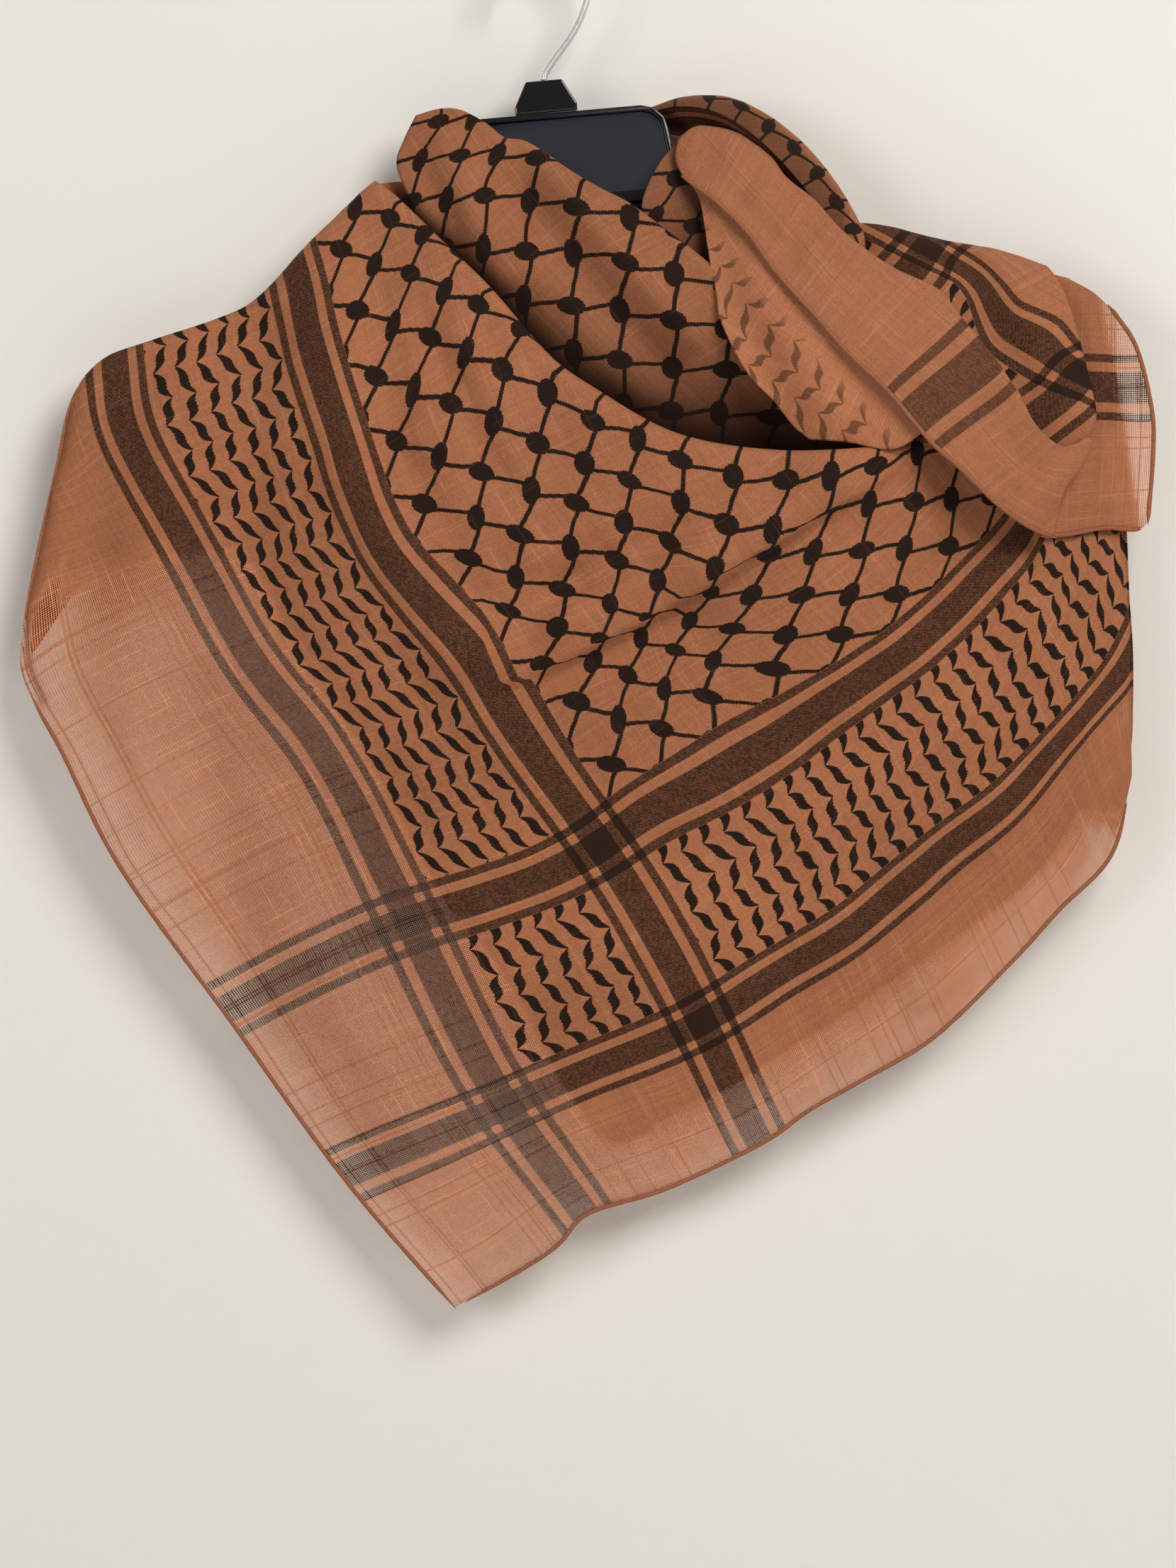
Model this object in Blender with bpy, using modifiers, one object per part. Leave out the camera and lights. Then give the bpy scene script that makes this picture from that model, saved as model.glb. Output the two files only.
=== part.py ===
"""Square cotton headscarf, folded corner to corner and wound round the neck of a plastic hanger.

Right is +X, up is +Z and the wall is towards +Y. The origin is where a nail carries the hook.
The tables hold millimetres: x is to the right, z is up, and forward is how far a point stands in
front of the hanger's middle plane, so a forward of 20 is y = -0.020.
"""
import math

import bmesh
import bpy
import numpy as np

MM = 0.001

# Cloth
WALL = 1.2             # thickness of each stretch of cloth
SEAM = 0.3             # clearance where two pieces meet
LAYER = 0.5            # clearance between cloth that lies on cloth
FAR_LAYER = 0.9        # clearance between the near and the far layer of the drape
FAR_REACH = 8.0        # the far layer lies on the lowest of the near layer this far around
HEM_RADIUS = 1.0       # rolled hem

# Hanger
TILT = math.radians(5.0)       # right shoulder up
SHIFT = -5.4                   # the tilted hanger hangs this far beside the nail
WIRE_RADIUS = 1.5
HOOK_RADIUS = 18.5             # to the middle of the wire
HOOK_OPENING = 230             # degrees of the hook's round part
COLLAR_TOP = -56.4
COLLAR_TOP_WIDTH = 15.5
COLLAR_BASE_WIDTH = 26.5
COLLAR_DEPTH = 9.0
PLATE_TOP = -70.3
PLATE_HALF = 51.0              # half width of the neck plate
PLATE_CORNER = 11.0
PLATE_FOOT = -108.5            # rib between the neck plate and the arms
ARM_START = (57.0, -121.5)     # where the arm's upper edge leaves the neck plate
ARM_END = 188.0                # half width of the hanger
ARM_SLOPE = 0.302              # drop of the arm for each mm outwards
ARM_HEIGHT = 10.0              # at the arm's end
HANGER_FOOT = -135.0           # lower edge below the neck
HANGER_DEPTH = 7.0
RIM = 2.2                      # raised border of the hanger's panels
RECESS = 2.3                   # depth of the panels below the border

RUST = (0.50, 0.20, 0.10)
HEM_RUST = (0.36, 0.12, 0.05)
BLACK = (0.012, 0.012, 0.014)
STEEL = (0.62, 0.60, 0.56)


def cleared_collection(name):
    """Empties the scene and gives it one collection for the scarf."""
    for old in list(bpy.data.objects):
        bpy.data.objects.remove(old)
    collection = bpy.data.collections.new(name)
    bpy.context.scene.collection.children.link(collection)
    return collection


SCARF = cleared_collection("keffiyeh_headscarf_on_hanger")


def finish(name, colour, roughness, metallic=0.0):
    material = bpy.data.materials.new(name)
    material.use_nodes = True
    shader = material.node_tree.nodes["Principled BSDF"]
    shader.inputs["Base Color"].default_value = (*colour, 1.0)
    shader.inputs["Roughness"].default_value = roughness
    shader.inputs["Metallic"].default_value = metallic
    return material


def placed(name, data, material):
    piece = bpy.data.objects.new(name, data)
    data.materials.append(material)
    SCARF.objects.link(piece)
    return piece


# Lines, fields and patches of cloth

def along(rows, where):
    """Points at the given shares of the length of a smooth line through a table's rows."""
    knots = np.array(rows, float)
    ends = np.vstack([2 * knots[0] - knots[1], knots, 2 * knots[-1] - knots[-2]])
    steps = np.linspace(0, 1, 24, endpoint=False)[:, None]
    fine = []
    for before, start, end, after in zip(ends, ends[1:], ends[2:], ends[3:]):
        fine.append(start
                    + steps * (end - before) / 2
                    + steps ** 2 * (before - 2.5 * start + 2 * end - after / 2)
                    + steps ** 3 * (1.5 * (start - end) + (after - before) / 2))
    fine = np.vstack([*fine, knots[-1:]])
    length = np.concatenate([[0], np.cumsum(np.linalg.norm(np.diff(fine, axis=0), axis=1))])
    return np.stack([np.interp(np.array(where) * length[-1], length, axis) for axis in fine.T], 1)


def height_field(rows):
    """A smooth height over x and z that passes through each row's last column."""
    rows = np.array(rows, float)
    places, heights = rows[:, :2] / 100, rows[:, 2]

    def bend(distance):
        return distance ** 2 * np.log(np.maximum(distance, 1e-9))

    count = len(rows)
    plane = np.column_stack([np.ones(count), places])
    system = np.zeros((count + 3, count + 3))
    system[:count, :count] = bend(np.linalg.norm(places[:, None] - places[None], axis=2))
    system[:count, count:] = plane
    system[count:, :count] = plane.T
    weights = np.linalg.solve(system, np.concatenate([heights, np.zeros(3)]))

    def height(x, z):
        point = np.stack([x, z], -1) / 100
        distance = np.linalg.norm(point[..., None, :] - places, axis=-1)
        return (bend(distance) @ weights[:count] + weights[count]
                + point @ weights[count + 1:])

    return height


def folds(table, x, z):
    """The sum of soft ridges and troughs, each along a straight line from start to end."""
    total = np.zeros_like(x)
    for x0, z0, x1, z1, width, height in table:
        run = np.array([x1 - x0, z1 - z0])
        share = np.clip(((x - x0) * run[0] + (z - z0) * run[1]) / (run @ run), 0, 1)
        away = np.hypot(x - x0 - share * run[0], z - z0 - share * run[1])
        total += height * np.exp(-(away / width) ** 2)
    return total


def patch(left, right, bottom, top, across, up):
    """A sheet that fills four edges; across and up are the shares at which its lines run."""
    u, v = np.array(across)[None, :, None], np.array(up)[:, None, None]
    left, right = along(left, up)[:, None], along(right, up)[:, None]
    bottom, top = along(bottom, across)[None], along(top, across)[None]
    corners = ((1 - u) * (1 - v) * left[0, 0] + u * (1 - v) * right[0, 0]
               + (1 - u) * v * left[-1, 0] + u * v * right[-1, 0])
    return (1 - u) * left + u * right + (1 - v) * bottom + v * top - corners


def even(count):
    return np.linspace(0, 1, count)


def edged(count, first=0.005, second=0.014):
    """Shares from 0 to 1, even but for two lines close beside each end, where a sheet turns."""
    return np.concatenate([[0, first], np.linspace(second, 1 - second, count - 4), [1 - first, 1]])


def normals(grid):
    """Unit normals of a grid, facing forward on a sheet whose rows run right and whose columns rise."""
    across = np.gradient(grid, axis=1)
    up = np.gradient(grid, axis=0)
    facing = np.cross(across, up)
    return facing / np.maximum(np.linalg.norm(facing, axis=2, keepdims=True), 1e-9)


def moved(grid, forward):
    """The sheet moved along its own normals."""
    return grid + normals(grid) * forward


def quarter_drop(distance, radius):
    """How far a sheet that turns back at an edge has dropped, at this distance inside the edge."""
    inside = np.clip(1 - distance / radius, 0, 1)
    return radius * (1 - np.sqrt(1 - inside ** 2))


def cloth(name, grid, material, wall=WALL, faces_back=False):
    """A wall of cloth whose outer face is the grid of (x, z, forward) points."""
    rows, columns = grid.shape[:2]
    points = grid.reshape(-1, 3)
    corners = [(x * MM, -forward * MM, z * MM) for x, z, forward in points]
    quads = []
    for row in range(rows - 1):
        for column in range(columns - 1):
            first = row * columns + column
            quad = (first, first + 1, first + columns + 1, first + columns)
            quads.append(quad[::-1] if faces_back else quad)
    mesh = bpy.data.meshes.new(name)
    mesh.from_pydata(corners, [], quads)
    mesh.shade_smooth()
    piece = placed(name, mesh, material)
    thickness = piece.modifiers.new("wall", "SOLIDIFY")
    thickness.thickness = wall * MM
    thickness.offset = -1
    thickness.use_quality_normals = True
    return piece


def hem(name, edge, outwards, material):
    """A rolled hem beside an edge; outwards points away from the cloth at each of its points."""
    middle = edge + outwards * (HEM_RADIUS + SEAM)
    curve = bpy.data.curves.new(name, "CURVE")
    curve.dimensions = "3D"
    curve.bevel_depth = HEM_RADIUS * MM
    curve.bevel_resolution = 1
    curve.use_fill_caps = True
    spline = curve.splines.new("POLY")
    spline.points.add(len(middle) - 1)
    for point, (x, z, forward) in zip(spline.points, middle):
        point.co = (x * MM, -forward * MM, z * MM, 1)
    return placed(name, curve, material)


def away_from(edge, inner):
    """Unit directions out of a sheet at its edge, square to the edge."""
    gap = edge - inner
    run = np.gradient(edge, axis=0)
    run /= np.linalg.norm(run, axis=1, keepdims=True)
    gap -= run * (gap * run).sum(axis=1, keepdims=True)
    return gap / np.linalg.norm(gap, axis=1, keepdims=True)


# Hanger: one moulded body, its size collar and the wire hook

def tilted(x, z):
    """A point of the level hanger, turned about the nail."""
    return (x * math.cos(TILT) - z * math.sin(TILT) + SHIFT, x * math.sin(TILT) + z * math.cos(TILT))


def arm_top(outwards):
    """Height of the level hanger's arm at this distance from its middle."""
    return ARM_START[1] - ARM_SLOPE * (outwards - ARM_START[0])


def hanger_body(material):
    corner = [(PLATE_HALF - PLATE_CORNER * (1 - math.sin(a)), PLATE_TOP - PLATE_CORNER * (1 - math.cos(a)))
              for a in np.radians([0, 30, 60, 90])]
    plate = [*corner, (PLATE_HALF + 3, PLATE_FOOT)]
    end_top = arm_top(ARM_END)
    round_end = [(ARM_END + ARM_HEIGHT / 2 * math.sin(a), end_top - ARM_HEIGHT / 2 * (1 - math.cos(a)))
                 for a in np.radians([0, 45, 90, 135, 180])]
    arms = [ARM_START, (130.0, arm_top(130.0)), *round_end, (110.0, HANGER_FOOT - 8), (50.0, HANGER_FOOT)]
    mesh = bpy.data.meshes.new("hanger_body")
    form = bmesh.new()

    def both_sides(half):
        return half + [(-x, z) for x, z in reversed(half)]

    def corner_at(x, z):
        tx, tz = tilted(x, z)
        return form.verts.new((tx * MM, -HANGER_DEPTH / 2 * MM, tz * MM))

    upper = [corner_at(x, z) for x, z in both_sides(plate)]
    right_foot, left_foot = upper[len(plate) - 1], upper[len(plate)]
    lower = [corner_at(x, z) for x, z in both_sides(arms)]
    faces = [form.faces.new(list(reversed(upper))),
             form.faces.new([left_foot, *reversed(lower), right_foot])]
    bmesh.ops.recalc_face_normals(form, faces=faces)
    if faces[0].normal.y > 0:
        bmesh.ops.reverse_faces(form, faces=faces)
    grown = bmesh.ops.extrude_face_region(form, geom=faces, use_keep_orig=True)
    backs = [item for item in grown["geom"] if isinstance(item, bmesh.types.BMFace)]
    back_points = [item for item in grown["geom"] if isinstance(item, bmesh.types.BMVert)]
    bmesh.ops.translate(form, verts=back_points, vec=(0, HANGER_DEPTH * MM, 0))
    bmesh.ops.recalc_face_normals(form, faces=form.faces)
    panels = [face for face in form.faces if len(face.verts) > 6]
    bmesh.ops.inset_individual(form, faces=panels, thickness=RIM * MM, use_even_offset=True)
    bmesh.ops.inset_individual(form, faces=panels, thickness=0.3 * MM, depth=-RECESS * MM,
                               use_even_offset=True)
    form.to_mesh(mesh)
    form.free()
    return placed("hanger_body", mesh, material)


def hook_collar(material):
    """The size collar on the neck of the hook, left bare."""
    mesh = bpy.data.meshes.new("hook_collar")
    form = bmesh.new()
    top, base = COLLAR_TOP_WIDTH / 2, COLLAR_BASE_WIDTH / 2
    foot = PLATE_TOP + SEAM
    outline = [(-base, foot), (base, foot), (base, foot + 3), (top, COLLAR_TOP), (-top, COLLAR_TOP),
               (-base, foot + 3)]
    front = []
    for x, z in outline:
        tx, tz = tilted(x, z)
        front.append(form.verts.new((tx * MM, -COLLAR_DEPTH / 2 * MM, tz * MM)))
    face = form.faces.new(front)
    grown = bmesh.ops.extrude_face_region(form, geom=[face], use_keep_orig=True)
    back_points = [item for item in grown["geom"] if isinstance(item, bmesh.types.BMVert)]
    bmesh.ops.translate(form, verts=back_points, vec=(0, COLLAR_DEPTH * MM, 0))
    bmesh.ops.recalc_face_normals(form, faces=form.faces)
    form.to_mesh(mesh)
    form.free()
    piece = placed("hook_collar", mesh, material)
    edge = piece.modifiers.new("edge", "BEVEL")
    edge.width = 0.8 * MM
    edge.segments = 2
    return piece


def hook(material):
    """A wire that leaves the collar, swings right and goes over the top to the left."""
    middle = -HOOK_RADIUS + WIRE_RADIUS
    root = tilted(0, COLLAR_TOP + SEAM)
    turns = np.radians(np.linspace(-30, HOOK_OPENING - 30, 22))
    ring = [(HOOK_RADIUS * math.cos(a), middle + HOOK_RADIUS * math.sin(a)) for a in turns]
    stem = [root, (root[0] + 0.3, root[1] + 4), (3.0, -43.5), (9.5, -35.0)]
    line = along([*stem, *ring], even(40))
    curve = bpy.data.curves.new("hook", "CURVE")
    curve.dimensions = "3D"
    curve.bevel_depth = WIRE_RADIUS * MM
    curve.bevel_resolution = 2
    curve.use_fill_caps = True
    spline = curve.splines.new("POLY")
    spline.points.add(len(line) - 1)
    for point, (x, z) in zip(spline.points, line):
        point.co = (x * MM, 0, z * MM, 1)
    return placed("hook", curve, material)


# Front drape: the near layer, from its free corner up to the lower fold of the cowl

FRONT_LEFT = (         # x, z, forward, up the left hem and round the left shoulder
    (-38, -577, 0), (-84, -523, 0), (-132, -456, 0), (-179, -390, 0), (-204, -340, 0),
    (-220, -310, 0), (-221, -292, 0), (-216, -261, 0), (-207, -221, 0), (-200, -191, 0),
    (-188, -174, 0), (-165, -165, 0), (-138, -156, 0), (-121, -147, 0), (-97, -122, 0), (-72, -99, 0))
FRONT_HEM = (          # from the corner to the right side
    (-38, -577, 0), (2, -553, 0), (18, -537, 0), (52, -526, 0), (92, -507, 0), (112, -493, 0),
    (135, -480, 0), (165, -462, 0), (198, -430, 0), (218, -408, 0), (240, -385, 0), (249, -352, 0))
FRONT_RIGHT = (
    (249, -352, 0), (249, -303, 0), (247, -273, 0), (246, -250, 0), (244, -215, 0), (238, -180, 0),
    (233, -163, 0))
FRONT_FOLD = (         # the rounded top edge, a deep swag
    (-72, -99, 0), (-62, -107, 0), (-42, -127, 0), (-22, -147, 0), (2, -175, 0), (22, -190, 0),
    (56, -209, 0), (98, -216, 0), (140, -214, 0), (175, -204, 0), (206, -186, 0), (233, -163, 0))
FRONT_DEPTHS = (       # x, z, forward: how far the drape stands in front of the hanger
    (-38, -579, 2), (-132, -456, 4), (-180, -390, 6), (-218, -308, 8), (-206, -222, 8),
    (-195, -185, 8.6), (-160, -168, 8.5), (-121, -152, 9.6), (-72, -100, 13), (-30, -141, 31),
    (10, -181, 43), (57, -211, 53), (100, -218, 55), (145, -214, 50), (190, -195, 25),
    (233, -163, 7.5), (247, -250, 7.5), (249, -330, 6.5), (205, -425, 4), (110, -497, 4),
    (15, -300, 37), (0, -420, 16), (-110, -260, 19), (150, -330, 22))
FRONT_FOLDS = (        # x0, z0, x1, z1, width, height of each ridge or trough
    (-22, -296, 60, -264, 15, 4.5), (60, -264, 118, -229, 14, 4.5), (118, -229, 165, -207, 13, 3.0),
    (-15, -322, 66, -290, 14, -3.5), (66, -290, 130, -253, 14, -4.0),
    (-92, -145, -80, -235, 20, 5.0), (-80, -235, -10, -340, 22, 4.0),
    (-120, -170, -128, -240, 17, -3.5), (-160, -190, -175, -262, 17, 3.0),
    (-40, -170, -5, -235, 15, 2.5), (-55, -160, -22, -235, 15, -2.5),
    (200, -268, 230, -330, 14, 2.5), (170, -268, 202, -345, 14, -2.5),
    (60, -420, 40, -520, 18, 2.5), (110, -400, 118, -470, 18, -2.5), (150, -380, 165, -440, 16, 2.0),
    (-110, -380, -60, -500, 20, 2.0), (-150, -330, -130, -420, 18, -2.0))
SIDE_TURN = 6.5        # radius at which the drape turns back over the arm
LIP = (                # back, inwards: the fold's section in shares of its radius
    (0.13, -0.5), (0.5, -0.87), (1.0, -1.0), (1.5, -0.87), (1.87, -0.5), (2.0, 0.0), (2.05, 1.6),
    (2.1, 3.2))

front_ground = height_field(FRONT_DEPTHS)


def front_depth(x, z):
    return front_ground(x, z) + folds(FRONT_FOLDS, x, z)


def distance_to(line, x, z):
    """Distance in the hanger's plane from each point to a line of points."""
    best = np.full(x.shape, np.inf)
    for (x0, z0), (x1, z1) in zip(line[:-1, :2], line[1:, :2]):
        run = np.array([x1 - x0, z1 - z0])
        share = np.clip(((x - x0) * run[0] + (z - z0) * run[1]) / max(run @ run, 1e-9), 0, 1)
        best = np.minimum(best, np.hypot(x - x0 - share * run[0], z - z0 - share * run[1]))
    return best


def front_grid(columns, rows):
    """The near layer with its rounded top fold: rows rise from the free corner."""
    grid = patch(FRONT_LEFT, FRONT_RIGHT, FRONT_HEM, FRONT_FOLD, edged(columns), even(rows))
    x, z = grid[..., 0], grid[..., 1]
    shoulder = along(FRONT_LEFT, even(60))[26:]
    side = along(FRONT_RIGHT, even(30))
    drop = quarter_drop(distance_to(shoulder, x, z), SIDE_TURN)
    drop = np.maximum(drop, quarter_drop(distance_to(side, x, z), SIDE_TURN - 1.5))
    grid[..., 2] = front_depth(x, z) - drop
    # The lip: its size grows from the neck to the middle of the swag and shrinks at the shoulder.
    share = edged(columns)
    radius = 1.9 + 2.9 * np.sin(math.pi * np.clip(share * 1.05, 0, 1)) ** 0.8
    crest = grid[-1].copy()
    smooth_line = along(FRONT_FOLD, share)
    tangent = np.gradient(smooth_line[:, :2], axis=0)
    tangent /= np.linalg.norm(tangent, axis=1, keepdims=True)
    inward = np.stack([tangent[:, 1], -tangent[:, 0]], 1)
    grid[-1, :, :2] += inward * radius[:, None]
    grid[-1, :, 2] = crest[:, 2]
    lip = []
    for back, inwards in LIP:
        row = grid[-1].copy()
        row[:, :2] += inward * (radius * inwards)[:, None]
        row[:, 2] -= radius * back
        lip.append(row)
    return grid, np.array(lip)


# Far layer: the other half of the folded square, close behind the front drape

FAR_LEFT = ((-206, -279, 0), (-199, -225, 0), (-188, -192, 0))
FAR_HEM = (            # its own hem, from the left shoulder down and up again to the right side
    (-206, -279, 0), (-190, -269, 0), (-162, -260, 0), (-133, -257, 0), (-124, -264, 0),
    (-107, -298, 0), (-76, -344, 0), (-48, -395, 0), (-14, -442, 0), (8, -482, 0), (29, -508, 0),
    (56, -495, 0), (92, -476, 0), (115, -462, 0), (170, -424, 0), (212, -390, 0), (238, -345, 0))
FAR_TOP = (
    (-188, -192, 0), (-160, -177, 0), (-120, -162, 0), (-78, -150, 0), (-40, -170, 0), (0, -205, 0),
    (56, -238, 0), (140, -243, 0), (190, -228, 0), (222, -205, 0))
FAR_RIGHT = ((238, -345, 0), (240, -300, 0), (236, -250, 0), (222, -205, 0))


def depth_on(sheet, x, z):
    """How far forward a sheet stands at each x and z, read across its triangles."""
    a, b, c, d = sheet[:-1, :-1], sheet[:-1, 1:], sheet[1:, 1:], sheet[1:, :-1]
    halves = [np.stack(corners, 2).reshape(-1, 3, 3) for corners in ((a, b, c), (a, c, d))]
    first, second, third = np.concatenate(halves).transpose(1, 0, 2)
    second, third = second - first, third - first
    area = second[:, 0] * third[:, 1] - second[:, 1] * third[:, 0]
    dx, dz = x.reshape(-1, 1) - first[:, 0], z.reshape(-1, 1) - first[:, 1]
    u = (dx * third[:, 1] - dz * third[:, 0]) / area
    v = (dz * second[:, 0] - dx * second[:, 1]) / area
    outside = np.maximum(np.maximum(-u, -v), u + v - 1)
    nearest = outside.argmin(axis=1)
    row = np.arange(len(nearest))
    rise = u[row, nearest] * second[nearest, 2] + v[row, nearest] * third[nearest, 2]
    return (first[nearest, 2] + rise).reshape(x.shape)


def far_grid(near, columns, rows):
    """Filled from its own edges, then laid against the back of the near layer."""
    grid = patch(FAR_LEFT, FAR_RIGHT, FAR_HEM, FAR_TOP, even(columns), even(rows))
    x, z = grid[..., 0], grid[..., 1]
    around = [depth_on(near, x + FAR_REACH * dx, z + FAR_REACH * dz)
              for dx, dz in ((0, 0), (1, 0), (-1, 0), (0, 1), (0, -1))]
    grid[..., 2] = np.min(around, axis=0)
    return moved(grid, -(WALL + FAR_LAYER))


# Upper cowl: the swag in front of the neck plate

COWL_LEFT = ((-50, -128, 6.5), (-57, -108, 5.5), (-63, -92, 4), (-60, -81, 3), (-55, -71, 3))
COWL_TOP = (
    (-55, -71, 3), (-45, -68.5, 6), (-36, -69, 9), (-25, -75, 13), (-17, -81.5, 16), (-7, -84, 19),
    (10, -96, 23), (23, -104, 26), (36, -111, 29), (50, -121.5, 31), (65, -133, 32), (95, -158, 33),
    (125, -182, 31), (150, -192, 26))
COWL_RIGHT = ((150, -236, 30), (151, -215, 30), (150, -192, 26))
COWL_FOOT = (
    (-50, -128, 6.5), (-25, -166, 16), (15, -205, 26), (57, -230, 31), (105, -238, 33), (150, -236, 30))
COWL_FOLDS = ((-45, -78, -20, -140, 9, 3.0), (-50, -95, -35, -128, 7, -2.0),
              (0, -95, 60, -165, 9, 3.5), (-8, -110, 50, -180, 9, -3.0),
              (-5, -140, 40, -190, 10, 2.0))
COWL_LIP = 2.4


def cowl_grid(columns, rows):
    grid = patch(COWL_LEFT, COWL_RIGHT, COWL_FOOT, COWL_TOP, even(columns), even(rows))
    grid[..., 2] += folds(COWL_FOLDS, grid[..., 0], grid[..., 1])
    top = grid[-1].copy()
    tangent = np.gradient(along(COWL_TOP, even(columns))[:, :2], axis=0)
    tangent /= np.linalg.norm(tangent, axis=1, keepdims=True)
    inward = np.stack([tangent[:, 1], -tangent[:, 0]], 1)
    grid[-1, :, :2] += inward * COWL_LIP
    lip = []
    for back, inwards in LIP[:6]:
        row = top.copy()
        row[:, :2] += inward * COWL_LIP * (1 + inwards)
        row[:, 2] -= COWL_LIP * back
        lip.append(row)
    return np.vstack([grid, lip])


# Neck strip: the cloth that rises from the cowl beside the neck plate

STRIP_LEFT = ((46, -126, 28.0), (41, -111, 20), (48, -93, 11.5), (56, -83, 6.5))
STRIP_RIGHT = ((66, -143, 28.6), (68, -125, 18), (72, -100, 11), (72, -84, 7))


def strip_grid(columns, rows):
    foot = (STRIP_LEFT[0], (56, -134, 29.0), STRIP_RIGHT[0])
    head = (STRIP_LEFT[-1], STRIP_RIGHT[-1])
    return patch(STRIP_LEFT, STRIP_RIGHT, foot, head, even(columns), even(rows))


# Neck roll: the bundle that comes from behind the plate and falls over the right shoulder

ROLL = (               # x, z of the crest, degrees it faces, radius, forward, degrees back and to the front
    (41, -66.5, 98, 9, -16.5, -96, 40), (58, -62.2, 86, 13, -6, -96, 52), (75, -62.5, 76, 15, 1, -96, 66),
    (90, -68.5, 62, 16, 6, -96, 74), (105, -79.5, 50, 17, 9.9, -94, 78), (118, -93.0, 40, 17, 9.9, -88, 80),
    (129, -109, 28, 16.5, 9, -78, 80), (134.5, -121.5, 15, 15, 12.5, -26, 78),
    (135.5, -134, 6, 13, 14, -18, 76))


def roll_grid(columns, rows):
    """Sections across the roll, from its back round the crest to its front rim."""
    grid = []
    for x, z, facing, radius, forward, back, front in along(ROLL, even(rows)):
        turn = np.radians(np.linspace(back, front, columns))
        out = (math.cos(math.radians(facing)), math.sin(math.radians(facing)))
        reach = radius * (np.cos(turn) - 1)
        grid.append(np.stack([x + out[0] * reach, z + out[1] * reach, forward + radius * np.sin(turn)], 1))
    return np.array(grid)


CURL_FOOT = (          # lower edge of the curl inside the roll, hidden by the end flap
    (50, -76, -11), (60, -80, -1), (76, -84, 8), (90, -95, 13), (103, -110, 16), (114, -124, 18),
    (124, -138, 19))


def curl_grid(columns, rows):
    """The inner face of the roll: it starts just inside the rim and dips under the flap."""
    roll = roll_grid(15, rows)
    rim = roll[:, -1] - (roll[:, -1] - roll[:, -2]) * 0.16
    stations = along(ROLL, even(rows))
    radius = stations[:, 3:4]
    middle = np.column_stack([
        stations[:, 0] - radius[:, 0] * np.cos(np.radians(stations[:, 2])),
        stations[:, 1] - radius[:, 0] * np.sin(np.radians(stations[:, 2])), stations[:, 4]])
    start = rim + (middle - rim) / radius * (WALL + LAYER)
    foot = along(CURL_FOOT, even(rows))
    share = even(columns)[None, :, None]
    grid = start[:, None] * (1 - share) + foot[:, None] * share
    grid[..., 2] -= 3.0 * np.sin(math.pi * share[..., 0])
    return grid


# End flap: the turned-up end of the scarf, its plain border and one band outwards

FLAP_HEM = (           # the hemmed edge, from the neck down to the lower tip
    (58, -98.5, 18), (73.5, -111.5, 31), (86, -125.5, 40), (96.5, -141, 46), (113.5, -161, 53),
    (126, -176, 58), (143, -193, 62), (160, -213, 62), (173.5, -225, 60), (187, -237.5, 54),
    (198, -245, 46), (206, -249, 41), (213.5, -251.5, 35))
FLAP_TOP = (           # the rolled upper edge
    (56.5, -81, 13), (63, -76.5, 15), (69, -76.2, 17), (79.5, -79, 22), (87.5, -84, 25),
    (95.5, -91.5, 30), (101.5, -99.5, 32), (113.5, -110, 36), (126, -124, 39), (144, -137.5, 42),
    (164, -147, 43), (170.5, -154.5, 44), (187, -176, 45), (196.5, -190, 44), (201.5, -201, 42),
    (207.5, -208.5, 39), (215, -213, 34.5), (222.5, -211.5, 32), (227.5, -208.5, 29))
FLAP_END = ((58, -98.5, 18), (55, -90, 14), (56.5, -81, 13))
FLAP_TURN = (          # the round lower end, where the cloth turns back to the shoulder
    (213.5, -251.5, 35), (215, -244, 34), (218.5, -231.5, 32), (226, -221, 28.5),
    (230.5, -210, 26), (227.5, -208.5, 29))
FLAP_FOLDS = ((80, -95, 150, -180, 14, 2.5), (150, -180, 205, -232, 15, 4.0),
              (150, -150, 205, -215, 9, -2.0), (168, -172, 196, -205, 8, 1.5),
              (70, -92, 110, -140, 8, -1.5))


def flap_grid(columns, rows):
    grid = patch(FLAP_END, FLAP_TURN, FLAP_HEM, FLAP_TOP, even(columns), even(rows))
    grid[..., 2] += folds(FLAP_FOLDS, grid[..., 0], grid[..., 1])
    edge = np.clip((even(rows) - 0.8) / 0.2, 0, 1)[:, None]
    grid[..., 2] -= 3.0 * (1 - np.sqrt(1 - edge ** 2))
    return grid


UNDER_LEFT = (         # outline of the wrong side, from its lowest point up to the neck
    (110.5, -211.5, 47), (104, -206, 46.5), (95.5, -195, 45.5), (84.5, -183, 42.5), (74, -162, 39.5),
    (72, -150, 38.5), (69, -134, 34.5), (67, -119, 26), (65, -108, 21.5), (60.5, -100, 16.5))
UNDER_FOOT = ((110.5, -211.5, 47), (126, -213, 51.5), (145, -216, 56.5), (156, -215, 57))
UNDER_FOLDS = ((74, -140, 100, -200, 9, -3.0), (88, -150, 120, -200, 9, 2.0))


def under_grid(columns, rows):
    """The wrong side of the end, which comes out from beneath the hemmed edge of the flap."""
    hem_line = along(FLAP_HEM, np.linspace(0.06, 0.67, 12))[::-1]
    hem_line = hem_line + np.array([2.5, 2.0, -(WALL + 1.6)])
    foot = (*UNDER_FOOT[:-1], tuple(hem_line[0]))
    head = (UNDER_LEFT[-1], tuple(hem_line[-1]))
    grid = patch(UNDER_LEFT, hem_line, foot, head, even(columns), even(rows))
    grid[..., 2] += folds(UNDER_FOLDS, grid[..., 0], grid[..., 1])
    return grid


# Shoulder fold: the striped cloth between the roll and the round end

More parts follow.
